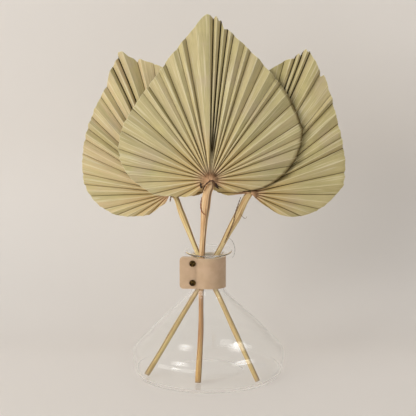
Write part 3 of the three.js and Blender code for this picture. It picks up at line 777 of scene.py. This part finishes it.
def room_behind(front, name, x, forward, z):
    """How far each point of a blade goes back to lie behind the blade in front of it, spread softly."""
    turn = leaf_turn(name)
    tree = BVHTree.FromObject(front, bpy.context.evaluated_depsgraph_get())
    push = np.zeros(x.shape)
    for index in np.ndindex(x.shape):
        behind = turn @ Vector((x[index], LOOKED_FOR_FROM, z[index])) + Vector(HUBS[name])
        distance = tree.ray_cast(behind * MM, turn @ Vector((0, -1, 0)))[3]
        if distance:
            push[index] = max(0, forward[index] + BLADES_APART - (distance / MM - LOOKED_FOR_FROM))
    for _ in range(PUSH_SPREADS):
        edged = np.pad(push, 1, mode="edge")
        spread = (edged[2:, 1:-1] + edged[:-2, 1:-1] + edged[1:-1, 2:] + edged[1:-1, :-2]) / 4
        push = np.maximum(push, spread)
    return push


def store_tones(piece, tones, facets, column):
    """Keeps on each face of a pleated sheet the tone of its facet, for its material."""
    corners = np.zeros(len(piece.data.loops), int)
    piece.data.loops.foreach_get("vertex_index", corners)
    first_columns = column[corners.reshape(-1, 4)].min(axis=1)
    kept = piece.data.attributes.new("tone", "FLOAT", "FACE")
    kept.data.foreach_set("value", tones[facets[first_columns]].astype(np.float32))


def sink_slits(draw, strength, creases, columns, radius, forward):
    """Sinks the slits into a fan. Gives painted shade in and beside them, and painted highlights on
    ridges.
    """
    closed = ramp(radius, *FOLDS_CLOSE)
    slit_shade = np.zeros_like(radius)
    shade = np.zeros_like(radius)
    ridge_highlight = np.zeros_like(radius)
    for at, is_valley, fold, deep in creases:
        from_crease = np.radians(np.abs(columns - at)) * np.maximum(radius, 2)
        in_crease = 1 - from_crease / crease_half(is_valley, fold, radius)
        if not is_valley:
            ridge_highlight = np.maximum(ridge_highlight, np.clip(in_crease, 0, 1) * ramp(radius, *RIDGE_STARTS))
            continue
        depth = SLIT_DEPTH + (SLIT_DEPTH_IN_FOLDS - SLIT_DEPTH) * fold * closed
        depth = depth * draw.uniform(*SLIT_DEPTH_VARIES) * at_least(SLIT_DEPTH_LEAST, deep)
        depth = depth * np.clip(radius / SLIT_FULLY_DEEP[0], 0.1, 1)
        past = np.maximum(radius - SLIT_FULLY_DEEP[1], 0)
        depth = depth * at_least(SLIT_DEPTH_AT_RIM, np.exp(-past / SLIT_SHALLOWER_OVER))
        near = np.clip(in_crease / (1 - SLIT_BOTTOM), 0, 1)
        forward = forward - depth * near
        dark_to = SLIT_DARK_TO * (1 + FOLDS_DARK_FURTHER * fold)
        dark = at_least(SLIT_DARK_AT_RIM, np.exp(-radius / dark_to))
        dark = dark * draw.uniform(*SLIT_DARK_VARIES) * deep
        dark = dark * (1 - OPEN_FOLDS_PALER * fold * (1 - closed))
        dark = dark * strength * (1 + FOLDS_DARKER * fold * closed)
        slit_shade = np.maximum(slit_shade, near * np.clip(dark, 0, 1) * ramp(radius, *SLIT_STARTS))
        near = bell(from_crease, SHADE_HALF) * at_least(SHADE_FAR, np.exp(-radius / SHADE_TO))
        shade = np.maximum(shade, near * deep * strength)
    return forward, slit_shade, shade, ridge_highlight


def blade(name, seed, front):
    """A leaf's blade as a pleated sheet in its place, lying behind the blade in front of it."""
    draw = np.random.default_rng(seed)
    places, heights = np.array(CREASES[name]).T
    shares = np.linspace(0, 1, BLADE_ROWS) ** ROWS_CLOSER_BY_HUB
    beside = np.pad(heights, 1, constant_values=-9)
    valleys = (heights < beside[:-2]) & (heights < beside[2:])
    folded = bell(places - FOLDED_AT[name], FOLDED_WIDTH)
    columns, facets = fan_columns(places, valleys, folded, OUTLINES[name], shares)
    nominal = columns[:, -1]
    rim = np.interp(nominal, *np.array(OUTLINES[name]).T)
    rim = rim + RIM_WAVE * drift(draw, nominal * RIM_WAVES_A_DEGREE, 0)
    rim = rim + draw.normal(0, RIM_FRAY, len(rim))
    radius = row_reaches(rim, shares)
    wander = drift(draw, nominal[:, None] * WANDERS_A_DEGREE, radius / WANDER_LENGTH)
    degrees = columns + CREASE_WANDER * wander * ramp(radius, 0, WANDERS_FULLY_AT)

    crease_height = PLEAT_DEPTH * np.interp(columns, places, heights)
    past = np.maximum(0, radius - CREASE_FULL_AT)
    growth = (np.minimum(radius, CREASE_FULL_AT) + CREASE_GROWTH_AFTER * past) / CREASE_FULL_AT
    tight = 1 + HUB_TIGHTNESS * np.exp(-radius / HUB_TIGHT_TO)
    among_folds = bell(columns - FOLDED_AT[name], FOLDED_WIDTH) * (1 - ramp(radius, *FOLDS_CLOSE))
    forward = crease_height * growth * tight * (1 - FOLDS_FLATTER * among_folds)
    at_sides = ramp(np.abs(places), *FAINTER_PAST)
    strong = np.clip(-heights / FULL_VALLEY, FAINTEST_SLIT, 1) * (1 - FAINTER_AT_SIDES * at_sides)
    creases = [*zip(places, valleys, folded, strong)][1:-1]
    strength = SLIT_STRENGTH[name]
    forward, slit_shade, shade, ridge_highlight = sink_slits(draw, strength, creases, columns, radius, forward)

    in_facet = (columns - places[facets][:, None]) / np.diff(places)[facets][:, None]
    swell = draw.uniform(*FACETS_SWELL, len(places))[facets][:, None]
    swells_by = np.clip(radius / FACETS_SWELL_AT, 0, FACETS_SWELL_MOST)
    forward = forward + swell * 4 * in_facet * (1 - in_facet) * swells_by
    large = drift(draw, columns * CRUMPLES_A_DEGREE, radius / CRUMPLE_LENGTH)
    forward = forward + CRUMPLES * large * ramp(radius, 0, CRUMPLES_FULL_AT)
    fine = drift(draw, columns * FINE_A_DEGREE, radius / FINE_LENGTH, FINE_WAVES)
    forward = forward + FINE_CRUMPLES * fine * ramp(radius, 0, FINE_FULL_AT)
    knob = KNOB_RISE * np.sqrt(np.clip(1 - (radius / KNOB_RADIUS) ** 2, 0, 1))
    x = radius * np.sin(np.radians(degrees))
    z = radius * np.cos(np.radians(degrees))
    sweep = np.where(x < 0, *SIDEWAYS_SWEEP[name])
    curl = ramp(radius / rim[:, None], CURL_FROM, 1) ** 2 * (1 - ramp(np.abs(columns), *CURL_ENDS_BY))
    forward = forward + knob - sweep * np.abs(x) - RIM_CURL[name] * curl
    edge = np.clip(1 - (rim[:, None] - radius) / EDGE_WIDTH, 0, 1)
    edge = edge * np.interp(columns, EDGE_TURNS_AT, EDGE_TURN_SHARES)
    forward = forward - EDGE_TURNED_BACK[name] * edge
    # Painted shadow: the turned-back edge is darkened, standing in for the shadow it casts behind
    painted_edge_shadow = edge * EDGE_TURNED_BACK[name] / EDGE_SHADOW_WHERE_BACK
    shade = np.maximum(shade, painted_edge_shadow)
    slit_shade = np.maximum(slit_shade, EDGE_SHADOW_DARKNESS * painted_edge_shadow)
    if front:
        forward = forward - room_behind(front, name, x, forward, z)

    piece, column, row = sheet_of(len(columns), BLADE_ROWS)
    flat = np.stack([x, -forward, z], -1)[column, row]
    turn = np.array(leaf_turn(name))
    move_mesh(piece, (flat @ turn.T + HUBS[name]) * MM)
    store(piece, "fan", np.stack([nominal[column], radius[column, row], rim[column]], 1))
    store(piece, "slit_shade", slit_shade[column, row])
    store(piece, "shade", shade[column, row])
    store(piece, "ridge_highlight", ridge_highlight[column, row])
    store_tones(piece, draw.uniform(0, 1, len(places)), facets, column)
    return piece


def give_wall(piece, thickness, towards_outside):
    """Gives a sheet its thickness, wholly on its outside or on both sides of it."""
    wall = piece.modifiers.new("thickness", "SOLIDIFY")
    wall.thickness = thickness * MM
    wall.offset = towards_outside
    bpy.ops.object.modifier_apply(modifier=wall.name)
    face_outwards()


def blade_material(name):
    sage, tan = BLADE_COLOURS[name]
    material, tree, shader = new_material(f"dry blade of {name}")
    strands, streaks, blotches, place = fibre_outputs(tree, "fan", (2.2, 0.035, 0))
    parts = add(tree, "SeparateXYZ", {0: place})
    reach, rim = parts.outputs["Y"], parts.outputs["Z"]
    slit_shade = kept_value(tree, "slit_shade")
    faded = noise(tree, add(tree, "TexCoord").outputs["Object"], 36, 4, 0.6)
    warmth = figure(tree, "ADD", kept_value(tree, "tone"), blotches)
    colour = mix(tree, stretch(tree, warmth, 0.5, 1.6), sage, tan)
    colour = tint(tree, colour, strands, 0.45, 0, 0.45, DARK_STRANDS)
    colour = tint(tree, colour, strands, 0.6, 1, 0.4, PALE_STRANDS)
    colour = tint(tree, colour, streaks, 0.75, 1, 0.45, PALE_STREAKS)
    colour = tint(tree, colour, faded, 0.52, 0.68, 0.5, FADED_PATCHES)
    colour = tint(tree, colour, faded, 0.46, 0.32, 0.35, YELLOW_PATCHES)
    colour = tint(tree, colour, reach, 60, 14, 0.65, OCHRE_BY_HUB)
    # Paler within 0.8 mm of the rim
    colour = tint(tree, colour, figure(tree, "SUBTRACT", rim, reach), 0.8, 0.2, 0.5, PALE_RIM_COLOUR)
    # Painted shade beside the valleys, and on the front blade's turned-back edge
    colour = tint(tree, colour, kept_value(tree, "shade"), 0, 1, 0.75, PAINTED_VALLEY_SHADE)
    colour = tint(tree, colour, reach, 19, 8, 0.88, HUB_COLOUR)
    # Painted shade in the slits: near black, browner by the hub
    slit_shade_colour = mix(tree, stretch(tree, reach, 32, 8), PAINTED_SLIT_SHADE, PAINTED_SLIT_SHADE_BY_HUB)
    colour = tint(tree, colour, slit_shade, 0, 1, 0.97, slit_shade_colour)
    # Painted highlights: thin pale lines along the ridges
    colour = tint(tree, colour, kept_value(tree, "ridge_highlight"), 0.1, 1, 0.6, PAINTED_RIDGE_HIGHLIGHT)
    tree.links.new(colour, shader.inputs["Base Color"])
    shader.inputs["Specular IOR Level"].default_value = BLADE_GLOSS
    dull = figure(tree, "MAXIMUM", stretch(tree, strands, 0, 1, 0.7, 0.5), slit_shade)
    tree.links.new(dull, shader.inputs["Roughness"])
    relief(tree, shader, strands, 0.35, 0.2)
    return material


leaf = None
for name, seed in BLADE_SEEDS.items():
    leaf = blade(name, seed, leaf)
    give_wall(leaf, BLADE_THICK, 1)
    bpy.ops.object.shade_smooth_by_angle(angle=BLADE_SMOOTH_UNDER)
    leaf.data.materials.append(blade_material(name))
    finish_piece(leaf, f"blade_of_{name}")
    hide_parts(f"{name}_blade")

# The loose fibres
# Dry threads that have come off the stalks. They lie along them or curl off their sides, and a few are
# wound round the front stalk where it enters its blade. Two near-black stubs beside the front stalk's
# top are painted shade. FIBRES gives (half width, colour, route).
FIBRE_SIDES = 8
FIBRE_RINGS = 39
FIBRE_LIGHTER = 1.7
FIBRE_WAVER = 0.25
FIBRE_WAVERS_A_MM = 1.7
FIBRE_TIP = 0.25
FIBRES = {
    "leaf_front": [
        (0.55, (0.2, 0.06, 0.02), (
            (-7.3, 10.5, 194.1), (-8.4, 7.6, 186.9), (-8, 5.6, 181.8), (-6, 3.6, 177.9),
            (-2.5, 2.8, 175.7),
        )),
        (0.8, (0.06, 0.024, 0.01), (
            (-6.6, 8.6, 198.9), (-5, 8.2, 205), (-2.1, 8.3, 209.2), (1.7, 8.6, 212.2),
            (5, 9.4, 212.2), (7.2, 10.4, 209), (7.8, 11.6, 204.5),
        )),
        # Painted shade: two near-black stubs beside the stalk's top, put where the hub has only shade
        (1.3, (0.035, 0.016, 0.008), ((-8.4, 11.5, 209.6), (-8.2, 10.6, 206.6), (-7, 10.4, 203.6))),
        (1.2, (0.03, 0.014, 0.008), ((7.4, 12.6, 209.5), (8.7, 12.8, 205.6), (10.8, 13.4, 202.6))),
        (0.5, (0.3, 0.15, 0.06), (
            (-4.7, 8.2, 201.3), (-2.5, 8.4, 205.7), (0.7, 8.8, 208.5), (3.7, 9.8, 208.7),
        )),
    ],
    "leaf_left": [
        (0.7, (0.16, 0.09, 0.04), ((-38.6, 30, 193.8), (-41, 29, 189), (-41.7, 28.6, 184.1))),
        (0.25, (0.2, 0.12, 0.05), ((-30.5, 22.2, 183.4), (-26, 17.6, 173.4), (-22, 13.2, 164.4))),
    ],
    "leaf_right": [
        (0.55, (0.1, 0.055, 0.03), (
            (35, 19, 192), (31.9, 16.4, 183.6), (29, 13.9, 175.3), (27, 11.2, 167),
        )),
        (0.5, (0.1, 0.055, 0.03), (
            (28, 11.4, 169.2), (24.4, 8.9, 159.7), (20.9, 7, 151.3), (17.2, 5, 144.1),
        )),
        (0.25, (0.16, 0.1, 0.06), (
            (33.6, 15, 176.3), (37.1, 13.5, 171.1), (40.1, 13, 169.6), (41.8, 13, 171.9),
        )),
        (0.2, (0.1, 0.08, 0.07), (
            (20.9, 6.5, 150), (25.3, 1, 148.1), (28.1, -3, 142.5), (28.3, -5.5, 136.4),
            (25.7, -8, 130.4),
        )),
    ],
}


def fibre(half_width, route):
    """A thin rod along a route, thick in its middle, with pointed ends."""
    line = smooth_route(route, 12)
    piece = rod(FIBRE_SIDES, FIBRE_RINGS)
    flat = mesh_places(piece)
    up = flat[:, 2]
    length = steps_on(line).sum()
    centre, side, face = along_line(line, up * length)
    waver = 1 + FIBRE_WAVER * np.sin(up * length * FIBRE_WAVERS_A_MM)
    width = half_width * waver * at_least(FIBRE_TIP, np.sin(math.pi * up) ** 0.5)
    bent = centre + side * (flat[:, 0] * width)[:, None] + face * (flat[:, 1] * width)[:, None]
    move_mesh(piece, bent * MM)
    return piece


def fibre_material(name, colour):
    material, tree, shader = new_material(name)
    fleck = noise(tree, add(tree, "TexCoord").outputs["Object"], 500, 3)
    light = tuple(FIBRE_LIGHTER * part for part in colour)
    flecked = mix(tree, stretch(tree, fleck, 0.4, 0.65), (*colour, 1), (*light, 1))
    tree.links.new(flecked, shader.inputs["Base Color"])
    tree.links.new(stretch(tree, fleck, 0.3, 0.7, 0.8, 0.5), shader.inputs["Roughness"])
    return material


for name, fibres_here in FIBRES.items():
    pieces = []
    for number, (half_width, colour, route) in enumerate(fibres_here):
        thread = fibre(half_width, route)
        thread.data.materials.append(fibre_material(f"fibre {number + 1} of {name}", colour))
        pieces.append(thread)
    deselect()
    for thread in pieces:
        thread.select_set(True)
    bpy.context.view_layer.objects.active = pieces[0]
    bpy.ops.object.join()
    face_outwards()
    bpy.ops.object.shade_smooth()
    finish_piece(pieces[0], f"fibres_of_{name}")

# The band
# One strap of smooth leather goes round the flask's neck. Its ends lie on each other as a tab at the
# front left, held by two rivets, and the leather sinks in a little beside them.
SEAT = 0.3
STRAP = 1.6
STRAP_LOW = 96.9
STRAP_HIGH = 131.5
STRAP_LOW_RISE = 0.11
STRAP_HIGH_RISE = 0.07
TAB_HIGH = 134
TAB_RISES_FROM = 19.7
TAB_RISES_TO = 24.4
TAB_DEPTH = 17.2
TAB_SLANT = 5
TAB_LEAVES_AT = 16
TAB_REACH = 29.6
TAB_FLAT_TO = 21.5
TAB_BENT_BACK = 0.9
TAB_CORNER = 4
FOLD_ROUND = 1
STRAP_COLUMNS = 300
STRAP_ROWS = 56
RIVET_ALONG = 15.6
RIVET_HEIGHTS = {"rivet_upper": 127, "rivet_lower": 105.5}
COLUMNS_CROWD = 0.15
DIP_ALONG = 11
DIP_DEPTH = 1.2
DIP_WIDTH = 3
DIP_HALF_HEIGHT = 13
DIP_LEAST = 0.15
PRESSED_RADIUS = 4.4
PRESSED_DEPTH = 0.25
STRAP_WAVER = 0.12
STRAP_WAVER_LENGTHS = (9, 7)
STRAP_ROUNDING = 0.35
STRAP_ROUNDS_OVER = math.radians(60)
FLESH_SIDE_DEPTH = 0.4
LEATHER_COLOURS = ((0.51, 0.345, 0.215, 1), (0.57, 0.395, 0.255, 1))
LEATHER_PATCHES = (0.51, 0.385, 0.235, 1)
LEATHER_PORES = (0.3, 0.19, 0.12, 1)
LEATHER_WORN_EDGE = (0.66, 0.52, 0.38, 1)
FLESH_SIDE_AND_PAINTED_LIGHT = (0.8, 0.74, 0.62, 1)

slant = math.radians(TAB_SLANT)
along_tab = np.array([-math.cos(slant), math.sin(slant)])
behind_tab = np.array([math.sin(slant), math.cos(slant)])
strap_radius = NECK_RADIUS + SEAT + STRAP / 2


def on_tab(along, depth):
    return along * along_tab - depth * behind_tab


def tab_end(depth):
    free = on_tab(TAB_REACH, depth - TAB_BENT_BACK)
    middle = on_tab((TAB_REACH + TAB_FLAT_TO) / 2, depth)
    return bend(free, middle, on_tab(TAB_FLAT_TO, depth), 8)


def strap_line():
    """The strap's middle line from above: front end, right round the neck, sharp fold, back end."""
    leaves = math.radians(TAB_LEAVES_AT)
    start = strap_radius * np.array([-math.sin(leaves), -math.cos(leaves)])
    heading = np.array([-math.cos(leaves), math.sin(leaves)])
    between = math.radians(TAB_LEAVES_AT - TAB_SLANT)
    reach = (strap_radius * math.cos(between) - TAB_DEPTH) / math.sin(between)
    corner = start + heading * reach
    back_depth = TAB_DEPTH - STRAP - SEAT
    fold_depth = back_depth - FOLD_ROUND
    fold = on_tab(math.sqrt((strap_radius + FOLD_ROUND) ** 2 - fold_depth**2), fold_depth)
    fold_angle = math.degrees(math.atan2(fold[1], fold[0])) + 360
    return np.array([
        *tab_end(TAB_DEPTH),
        *bend(corner + along_tab * reach, corner, start, 12),
        *arc(0, 0, strap_radius, strap_radius, -90 - TAB_LEAVES_AT, fold_angle, 120)[1:],
        *arc(*fold, FOLD_ROUND, FOLD_ROUND, fold_angle - 180, 90 - TAB_SLANT - 180, 8)[1:],
        *tab_end(back_depth)[::-1],
    ])


line = strap_line()
reach = reach_on(line)
band, column, row = sheet_of(STRAP_COLUMNS + 1, STRAP_ROWS + 1)
ends = 1 - np.cos(np.linspace(0, math.pi, STRAP_COLUMNS + 1))
spread = COLUMNS_CROWD * ends / 2 + (1 - COLUMNS_CROWD) * np.linspace(0, 1, STRAP_COLUMNS + 1)
distance = spread[column] * reach[-1]
x = np.interp(distance, reach, line[:, 0])
y = np.interp(distance, reach, line[:, 1])
outward = ramp(np.hypot(x, y), TAB_RISES_FROM, TAB_RISES_TO)
outward = outward * outward * (3 - 2 * outward)
low = STRAP_LOW + STRAP_LOW_RISE * np.maximum(0, -y)
high = STRAP_HIGH - STRAP_HIGH_RISE * y
high = high + (TAB_HIGH - high) * outward
from_end = np.clip(np.minimum(distance, reach[-1] - distance), 0, TAB_CORNER)
corner = TAB_CORNER - np.sqrt(TAB_CORNER**2 - (TAB_CORNER - from_end) ** 2)
z = low + corner + (high - low - 2 * corner) * row / STRAP_ROWS
on_front = (distance < reach[-1] / 2) & (y < 0)
along = np.stack([x, y], 1) @ along_tab
from_middle = z - sum(RIVET_HEIGHTS.values()) / 2
dip = DIP_DEPTH * bell(along - DIP_ALONG, DIP_WIDTH) * on_front
dip = dip * np.clip(1 - (from_middle / DIP_HALF_HEIGHT) ** 2, DIP_LEAST, 1)
pressed = np.zeros(len(x))
for height in RIVET_HEIGHTS.values():
    from_rivet = np.hypot(along - RIVET_ALONG, z - height)
    pressed += PRESSED_DEPTH * np.clip(1 - (from_rivet / PRESSED_RADIUS) ** 4, 0, 1) * on_front
back = behind_tab * (dip + pressed)[:, None]
waver = STRAP_WAVER * np.sin(distance / STRAP_WAVER_LENGTHS[0]) * np.sin(z / STRAP_WAVER_LENGTHS[1])
store(band, "strap", np.stack([distance, z, row / STRAP_ROWS], 1))
move_mesh(band, np.stack([x + back[:, 0], y + back[:, 1], z + waver], 1) * MM)
give_wall(band, STRAP, 0)
rounding = band.modifiers.new("rounding", "BEVEL")
rounding.width = STRAP_ROUNDING * MM
rounding.segments = 3
rounding.limit_method = "ANGLE"
rounding.angle_limit = STRAP_ROUNDS_OVER
bpy.ops.object.modifier_apply(modifier=rounding.name)
bpy.ops.object.shade_smooth_by_angle(angle=SMOOTH_UNDER)

leather, tree, shader = new_material("smooth beige leather")
place = add(tree, "TexCoord").outputs["Object"]
pores = add(tree, "TexVoronoi", {"Vector": place, "Scale": 1900, "Randomness": 1}, feature="F1")
pores = pores.outputs["Distance"]
mottle = noise(tree, place, 130, 4)
colour = mix(tree, stretch(tree, mottle, 0.35, 0.65), *LEATHER_COLOURS)
colour = tint(tree, colour, noise(tree, place, 34, 2), 0.4, 0.7, 0.35, LEATHER_PATCHES)
colour = tint(tree, colour, pores, 0.25, 0, 0.2, LEATHER_PORES)
strap = add(tree, "Attribute", attribute_name="strap").outputs["Vector"]
share_up = add(tree, "SeparateXYZ", {0: strap}).outputs["Z"]
from_middle = figure(tree, "ABSOLUTE", figure(tree, "SUBTRACT", share_up, 0.5))
colour = tint(tree, colour, from_middle, 0.485, 0.5, 0.6, LEATHER_WORN_EDGE)
flat_place = add(tree, "VectorMath", {0: place, 1: (1, 1, 0)}, operation="MULTIPLY").outputs["Vector"]
from_axis = add(tree, "VectorMath", {0: flat_place}, operation="LENGTH").outputs["Value"]
# Flesh side pale as raw leather, and paler still as painted light for the rim's bright reflection
inner_face = NECK_RADIUS + SEAT
flesh_side_with_painted_light = stretch(tree, from_axis, (inner_face + FLESH_SIDE_DEPTH) * MM, inner_face * MM)
colour = mix(tree, flesh_side_with_painted_light, colour, FLESH_SIDE_AND_PAINTED_LIGHT)
tree.links.new(colour, shader.inputs["Base Color"])
tree.links.new(stretch(tree, mottle, 0.3, 0.7, 0.62, 0.5), shader.inputs["Roughness"])
relief(tree, shader, pores, 0.25, 0.15)
band.data.materials.append(leather)
finish_piece(band, "leather_band")
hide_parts("neck_band")

# The rivets
# Double-cap rivets of brass, browned almost to black: a domed cap in front, a post through both ends of
# the strap and a small washer behind.
CAP_RADIUS = 3.5
CAP_DOME = 1.5
CAP_EDGE = 0.35
CAP_LIFT = 0.05
POST_RADIUS = 1.3
WASHER_RADIUS = 2
WASHER_THICK = 0.6
WASHER_ROUND = 0.2
RIVET_SIDES = 48
BRASS_BROWNED = (0.03, 0.017, 0.008, 1)
BRASS_RUBBED = (0.2, 0.125, 0.035, 1)

brass, tree, shader = new_material("browned brass")
shader.inputs["Metallic"].default_value = 1
tarnish = noise(tree, add(tree, "TexCoord").outputs["Object"], 700, 5)
colour = mix(tree, stretch(tree, tarnish, 0.45, 0.68), BRASS_BROWNED, BRASS_RUBBED)
tree.links.new(colour, shader.inputs["Base Color"])
tree.links.new(stretch(tree, tarnish, 0.3, 0.7, 0.45, 0.28), shader.inputs["Roughness"])
relief(tree, shader, tarnish, 0.3, 0.1)

washer_top = -2 * STRAP - 2 * SEAT
washer_low = washer_top - WASHER_THICK
washer_round_z = washer_low + WASHER_ROUND
cap_edge_z = CAP_LIFT + CAP_EDGE
for name, height in RIVET_HEIGHTS.items():
    rivet = turned(
        [
            (0, washer_low),
            *arc(WASHER_RADIUS - WASHER_ROUND, washer_round_z, WASHER_ROUND, WASHER_ROUND, -90, 0, 3),
            (WASHER_RADIUS, washer_top),
            (POST_RADIUS, washer_top),
            (POST_RADIUS, CAP_LIFT),
            (CAP_RADIUS - CAP_EDGE, CAP_LIFT),
            *arc(CAP_RADIUS - CAP_EDGE, cap_edge_z, CAP_EDGE, CAP_EDGE, -90, 0, 4)[1:],
            *arc(0, cap_edge_z, CAP_RADIUS, SEAT + CAP_DOME - CAP_LIFT - CAP_EDGE, 0, 90, 14)[1:],
        ],
        RIVET_SIDES,
    )
    bpy.ops.object.shade_smooth_by_angle(angle=SMOOTH_UNDER)
    face = on_tab(RIVET_ALONG, TAB_DEPTH + STRAP / 2)
    rivet.rotation_euler = (math.pi / 2, 0, -slant)
    rivet.location = (face[0] * MM, face[1] * MM, height * MM)
    bpy.ops.object.transform_apply(location=True, rotation=True)
    rivet.data.materials.append(brass)
    finish_piece(rivet, f"cap_of_{name}")
    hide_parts(name)

# The room
# A pale sheet of paper, laid flat and curved up behind, can be seen through from its back. A large
# window at the front left has a brighter patch of sky, and two bright strips above the sides light only
# what mirrors them. The camera stands at the photo's height.
PAPER_SIZE = (6, 3)
PAPER_HEIGHT = 2.5
FLOOR_BACK = 0.09
SWEEP_ROUND = 0.2
SWEEP_STEPS = 24
PAPER_RISE = 0.0002
PAPER_COLOUR = (0.79, 0.75, 0.705, 1)
# Painted shade: the paper darkens where it curves up behind and stays a little darker up the wall
PAPER_PAINTED_SHADE = (
    (0.1, 1), (0.18, 0.935), (0.32, 0.905), (0.42, 0.91), (0.54, 0.95), (0.64, 0.97), (0.9, 0.97),
)
DARKNESS_REACH = 0.7
PAPER_ROUGHNESS = 0.75
LAMP_COLOUR = (1, 0.99, 0.975)
WORLD_COLOUR = (1, 0.99, 0.98, 1)
WORLD_SEEN = 0.71
WORLD_LIGHT = 0.48
CAMERA_PLACE = (-0.0005, -2.5, 0.812)
CAMERA_LOOKS_DOWN = 14.09
CAMERA_LENS = 207.4

deselect()
bpy.ops.mesh.primitive_plane_add(size=1, location=(0, 0, 0))
paper = bpy.context.object
paper.name = "paper"
bpy.ops.object.mode_set(mode="EDIT")
bpy.ops.mesh.select_all(action="SELECT")
bpy.ops.transform.resize(value=(*PAPER_SIZE, 1))
bpy.ops.transform.translate(value=(0, FLOOR_BACK + SWEEP_ROUND - PAPER_SIZE[1] / 2, PAPER_RISE))
select_edges(paper, lambda start, end: min(start.y, end.y) > 0)
bpy.ops.mesh.extrude_region_move(TRANSFORM_OT_translate={"value": (0, 0, PAPER_HEIGHT)})
select_edges(paper, lambda start, end: min(start.y, end.y) > 0 and max(start.z, end.z) < 0.01)
bpy.ops.mesh.bevel(offset=SWEEP_ROUND, segments=SWEEP_STEPS, affect="EDGES")
face_outwards(inside=True)
bpy.ops.object.shade_smooth()
pale, tree, shader = new_material("pale paper")
# Painted shade along the curve and up the wall
parts = add(tree, "SeparateXYZ", {0: add(tree, "TexCoord").outputs["Object"]})
up_sweep = figure(tree, "ADD", parts.outputs["Y"], parts.outputs["Z"])
shade = add(tree, "ValToRGB", {0: stretch(tree, up_sweep, 0, DARKNESS_REACH)})
shade.color_ramp.interpolation = "B_SPLINE"
shade.color_ramp.elements[0].color = shade.color_ramp.elements[1].color = PAPER_COLOUR
for share, darkness in PAPER_PAINTED_SHADE:
    shade.color_ramp.elements.new(share).color = [darkness * part for part in PAPER_COLOUR[:3]] + [1]
tree.links.new(shade.outputs["Color"], shader.inputs["Base Color"])
shader.inputs["Roughness"].default_value = PAPER_ROUGHNESS
from_behind = add(tree, "NewGeometry").outputs["Backfacing"]
seen = add(tree, "LightPath").outputs["Is Camera Ray"]
let_light_through(tree, shader, figure(tree, "MULTIPLY", from_behind, seen))
paper.data.materials.append(pale)


def softbox(name, target, start, end, distance, width, height, power, soft_edge):
    """An oblong light that looks at a place, with its length from one direction towards another."""
    light = bpy.data.lights.new(name, "AREA")
    light.shape = "RECTANGLE"
    light.size = width
    light.size_y = height
    light.energy = power
    light.color = LAMP_COLOUR
    lamp = bpy.data.objects.new(name, light)
    bpy.context.scene.collection.objects.link(lamp)
    start, end = (Vector(way).normalized() for way in (start, end))
    away = (start + end).normalized()
    across = away.cross(end - start).normalized()
    lamp.location = Vector(target) + away * distance
    lamp.rotation_euler = Matrix((across.cross(away), across, away)).transposed().to_euler()
    light.use_nodes = True
    tree = light.node_tree
    place = add(tree, "SeparateXYZ", {0: add(tree, "NewGeometry").outputs["Parametric"]}).outputs
    off = [figure(tree, "ABSOLUTE", figure(tree, "SUBTRACT", place[axis], 0.5)) for axis in "XY"]
    glow = [stretch(tree, part, 0.5, 0.5 - soft_edge) for part in off]
    tree.links.new(figure(tree, "MULTIPLY", *glow), tree.nodes["Emission"].inputs["Strength"])
    return lamp


window = softbox(
    "window", target=(0, 0, 0.15), start=(-0.837, -0.427, 0.36),
    end=(-0.641, -0.687, 0.36), distance=6, width=7, height=4, power=255, soft_edge=0.02,
)
sky = softbox(
    "sky in the window", target=(0, 0, 0.15), start=(-0.837, -0.427, 0.42),
    end=(-0.641, -0.687, 0.42), distance=6, width=1.5, height=1.5, power=48, soft_edge=0.1,
)
left_strip = softbox(
    "left strip", target=(-0.025, -0.06, 0.042), start=(-0.33, -0.371, 0.867),
    end=(-0.665, -0.07, 0.743), distance=1.3, width=0.6, height=0.13, power=1.65, soft_edge=0.5,
)
right_strip = softbox(
    "right strip", target=(0.03, -0.055, 0.042), start=(0.374, -0.35, 0.859),
    end=(0.752, 0.148, 0.642), distance=1.3, width=0.8, height=0.14, power=2.7, soft_edge=0.5,
)
window.visible_glossy = False
sky.visible_glossy = False
left_strip.visible_diffuse = False
right_strip.visible_diffuse = False
world = bpy.data.worlds.new("room")
world.use_nodes = True
tree = world.node_tree
rays = add(tree, "LightPath")
brightness = stretch(tree, rays.outputs["Is Diffuse Ray"], 0, 1, WORLD_SEEN, WORLD_LIGHT)
tree.nodes["Background"].inputs["Color"].default_value = WORLD_COLOUR
tree.links.new(brightness, tree.nodes["Background"].inputs["Strength"])
bpy.context.scene.world = world
bpy.context.scene.view_settings.view_transform = "Standard"

camera = bpy.data.objects.new("camera", bpy.data.cameras.new("camera"))
camera.location = CAMERA_PLACE
camera.rotation_euler = (math.radians(90 - CAMERA_LOOKS_DOWN), 0, 0)
camera.data.lens = CAMERA_LENS
camera.data.sensor_width = 36
camera.data.clip_end = 20
bpy.context.scene.collection.objects.link(camera)
bpy.context.scene.camera = camera
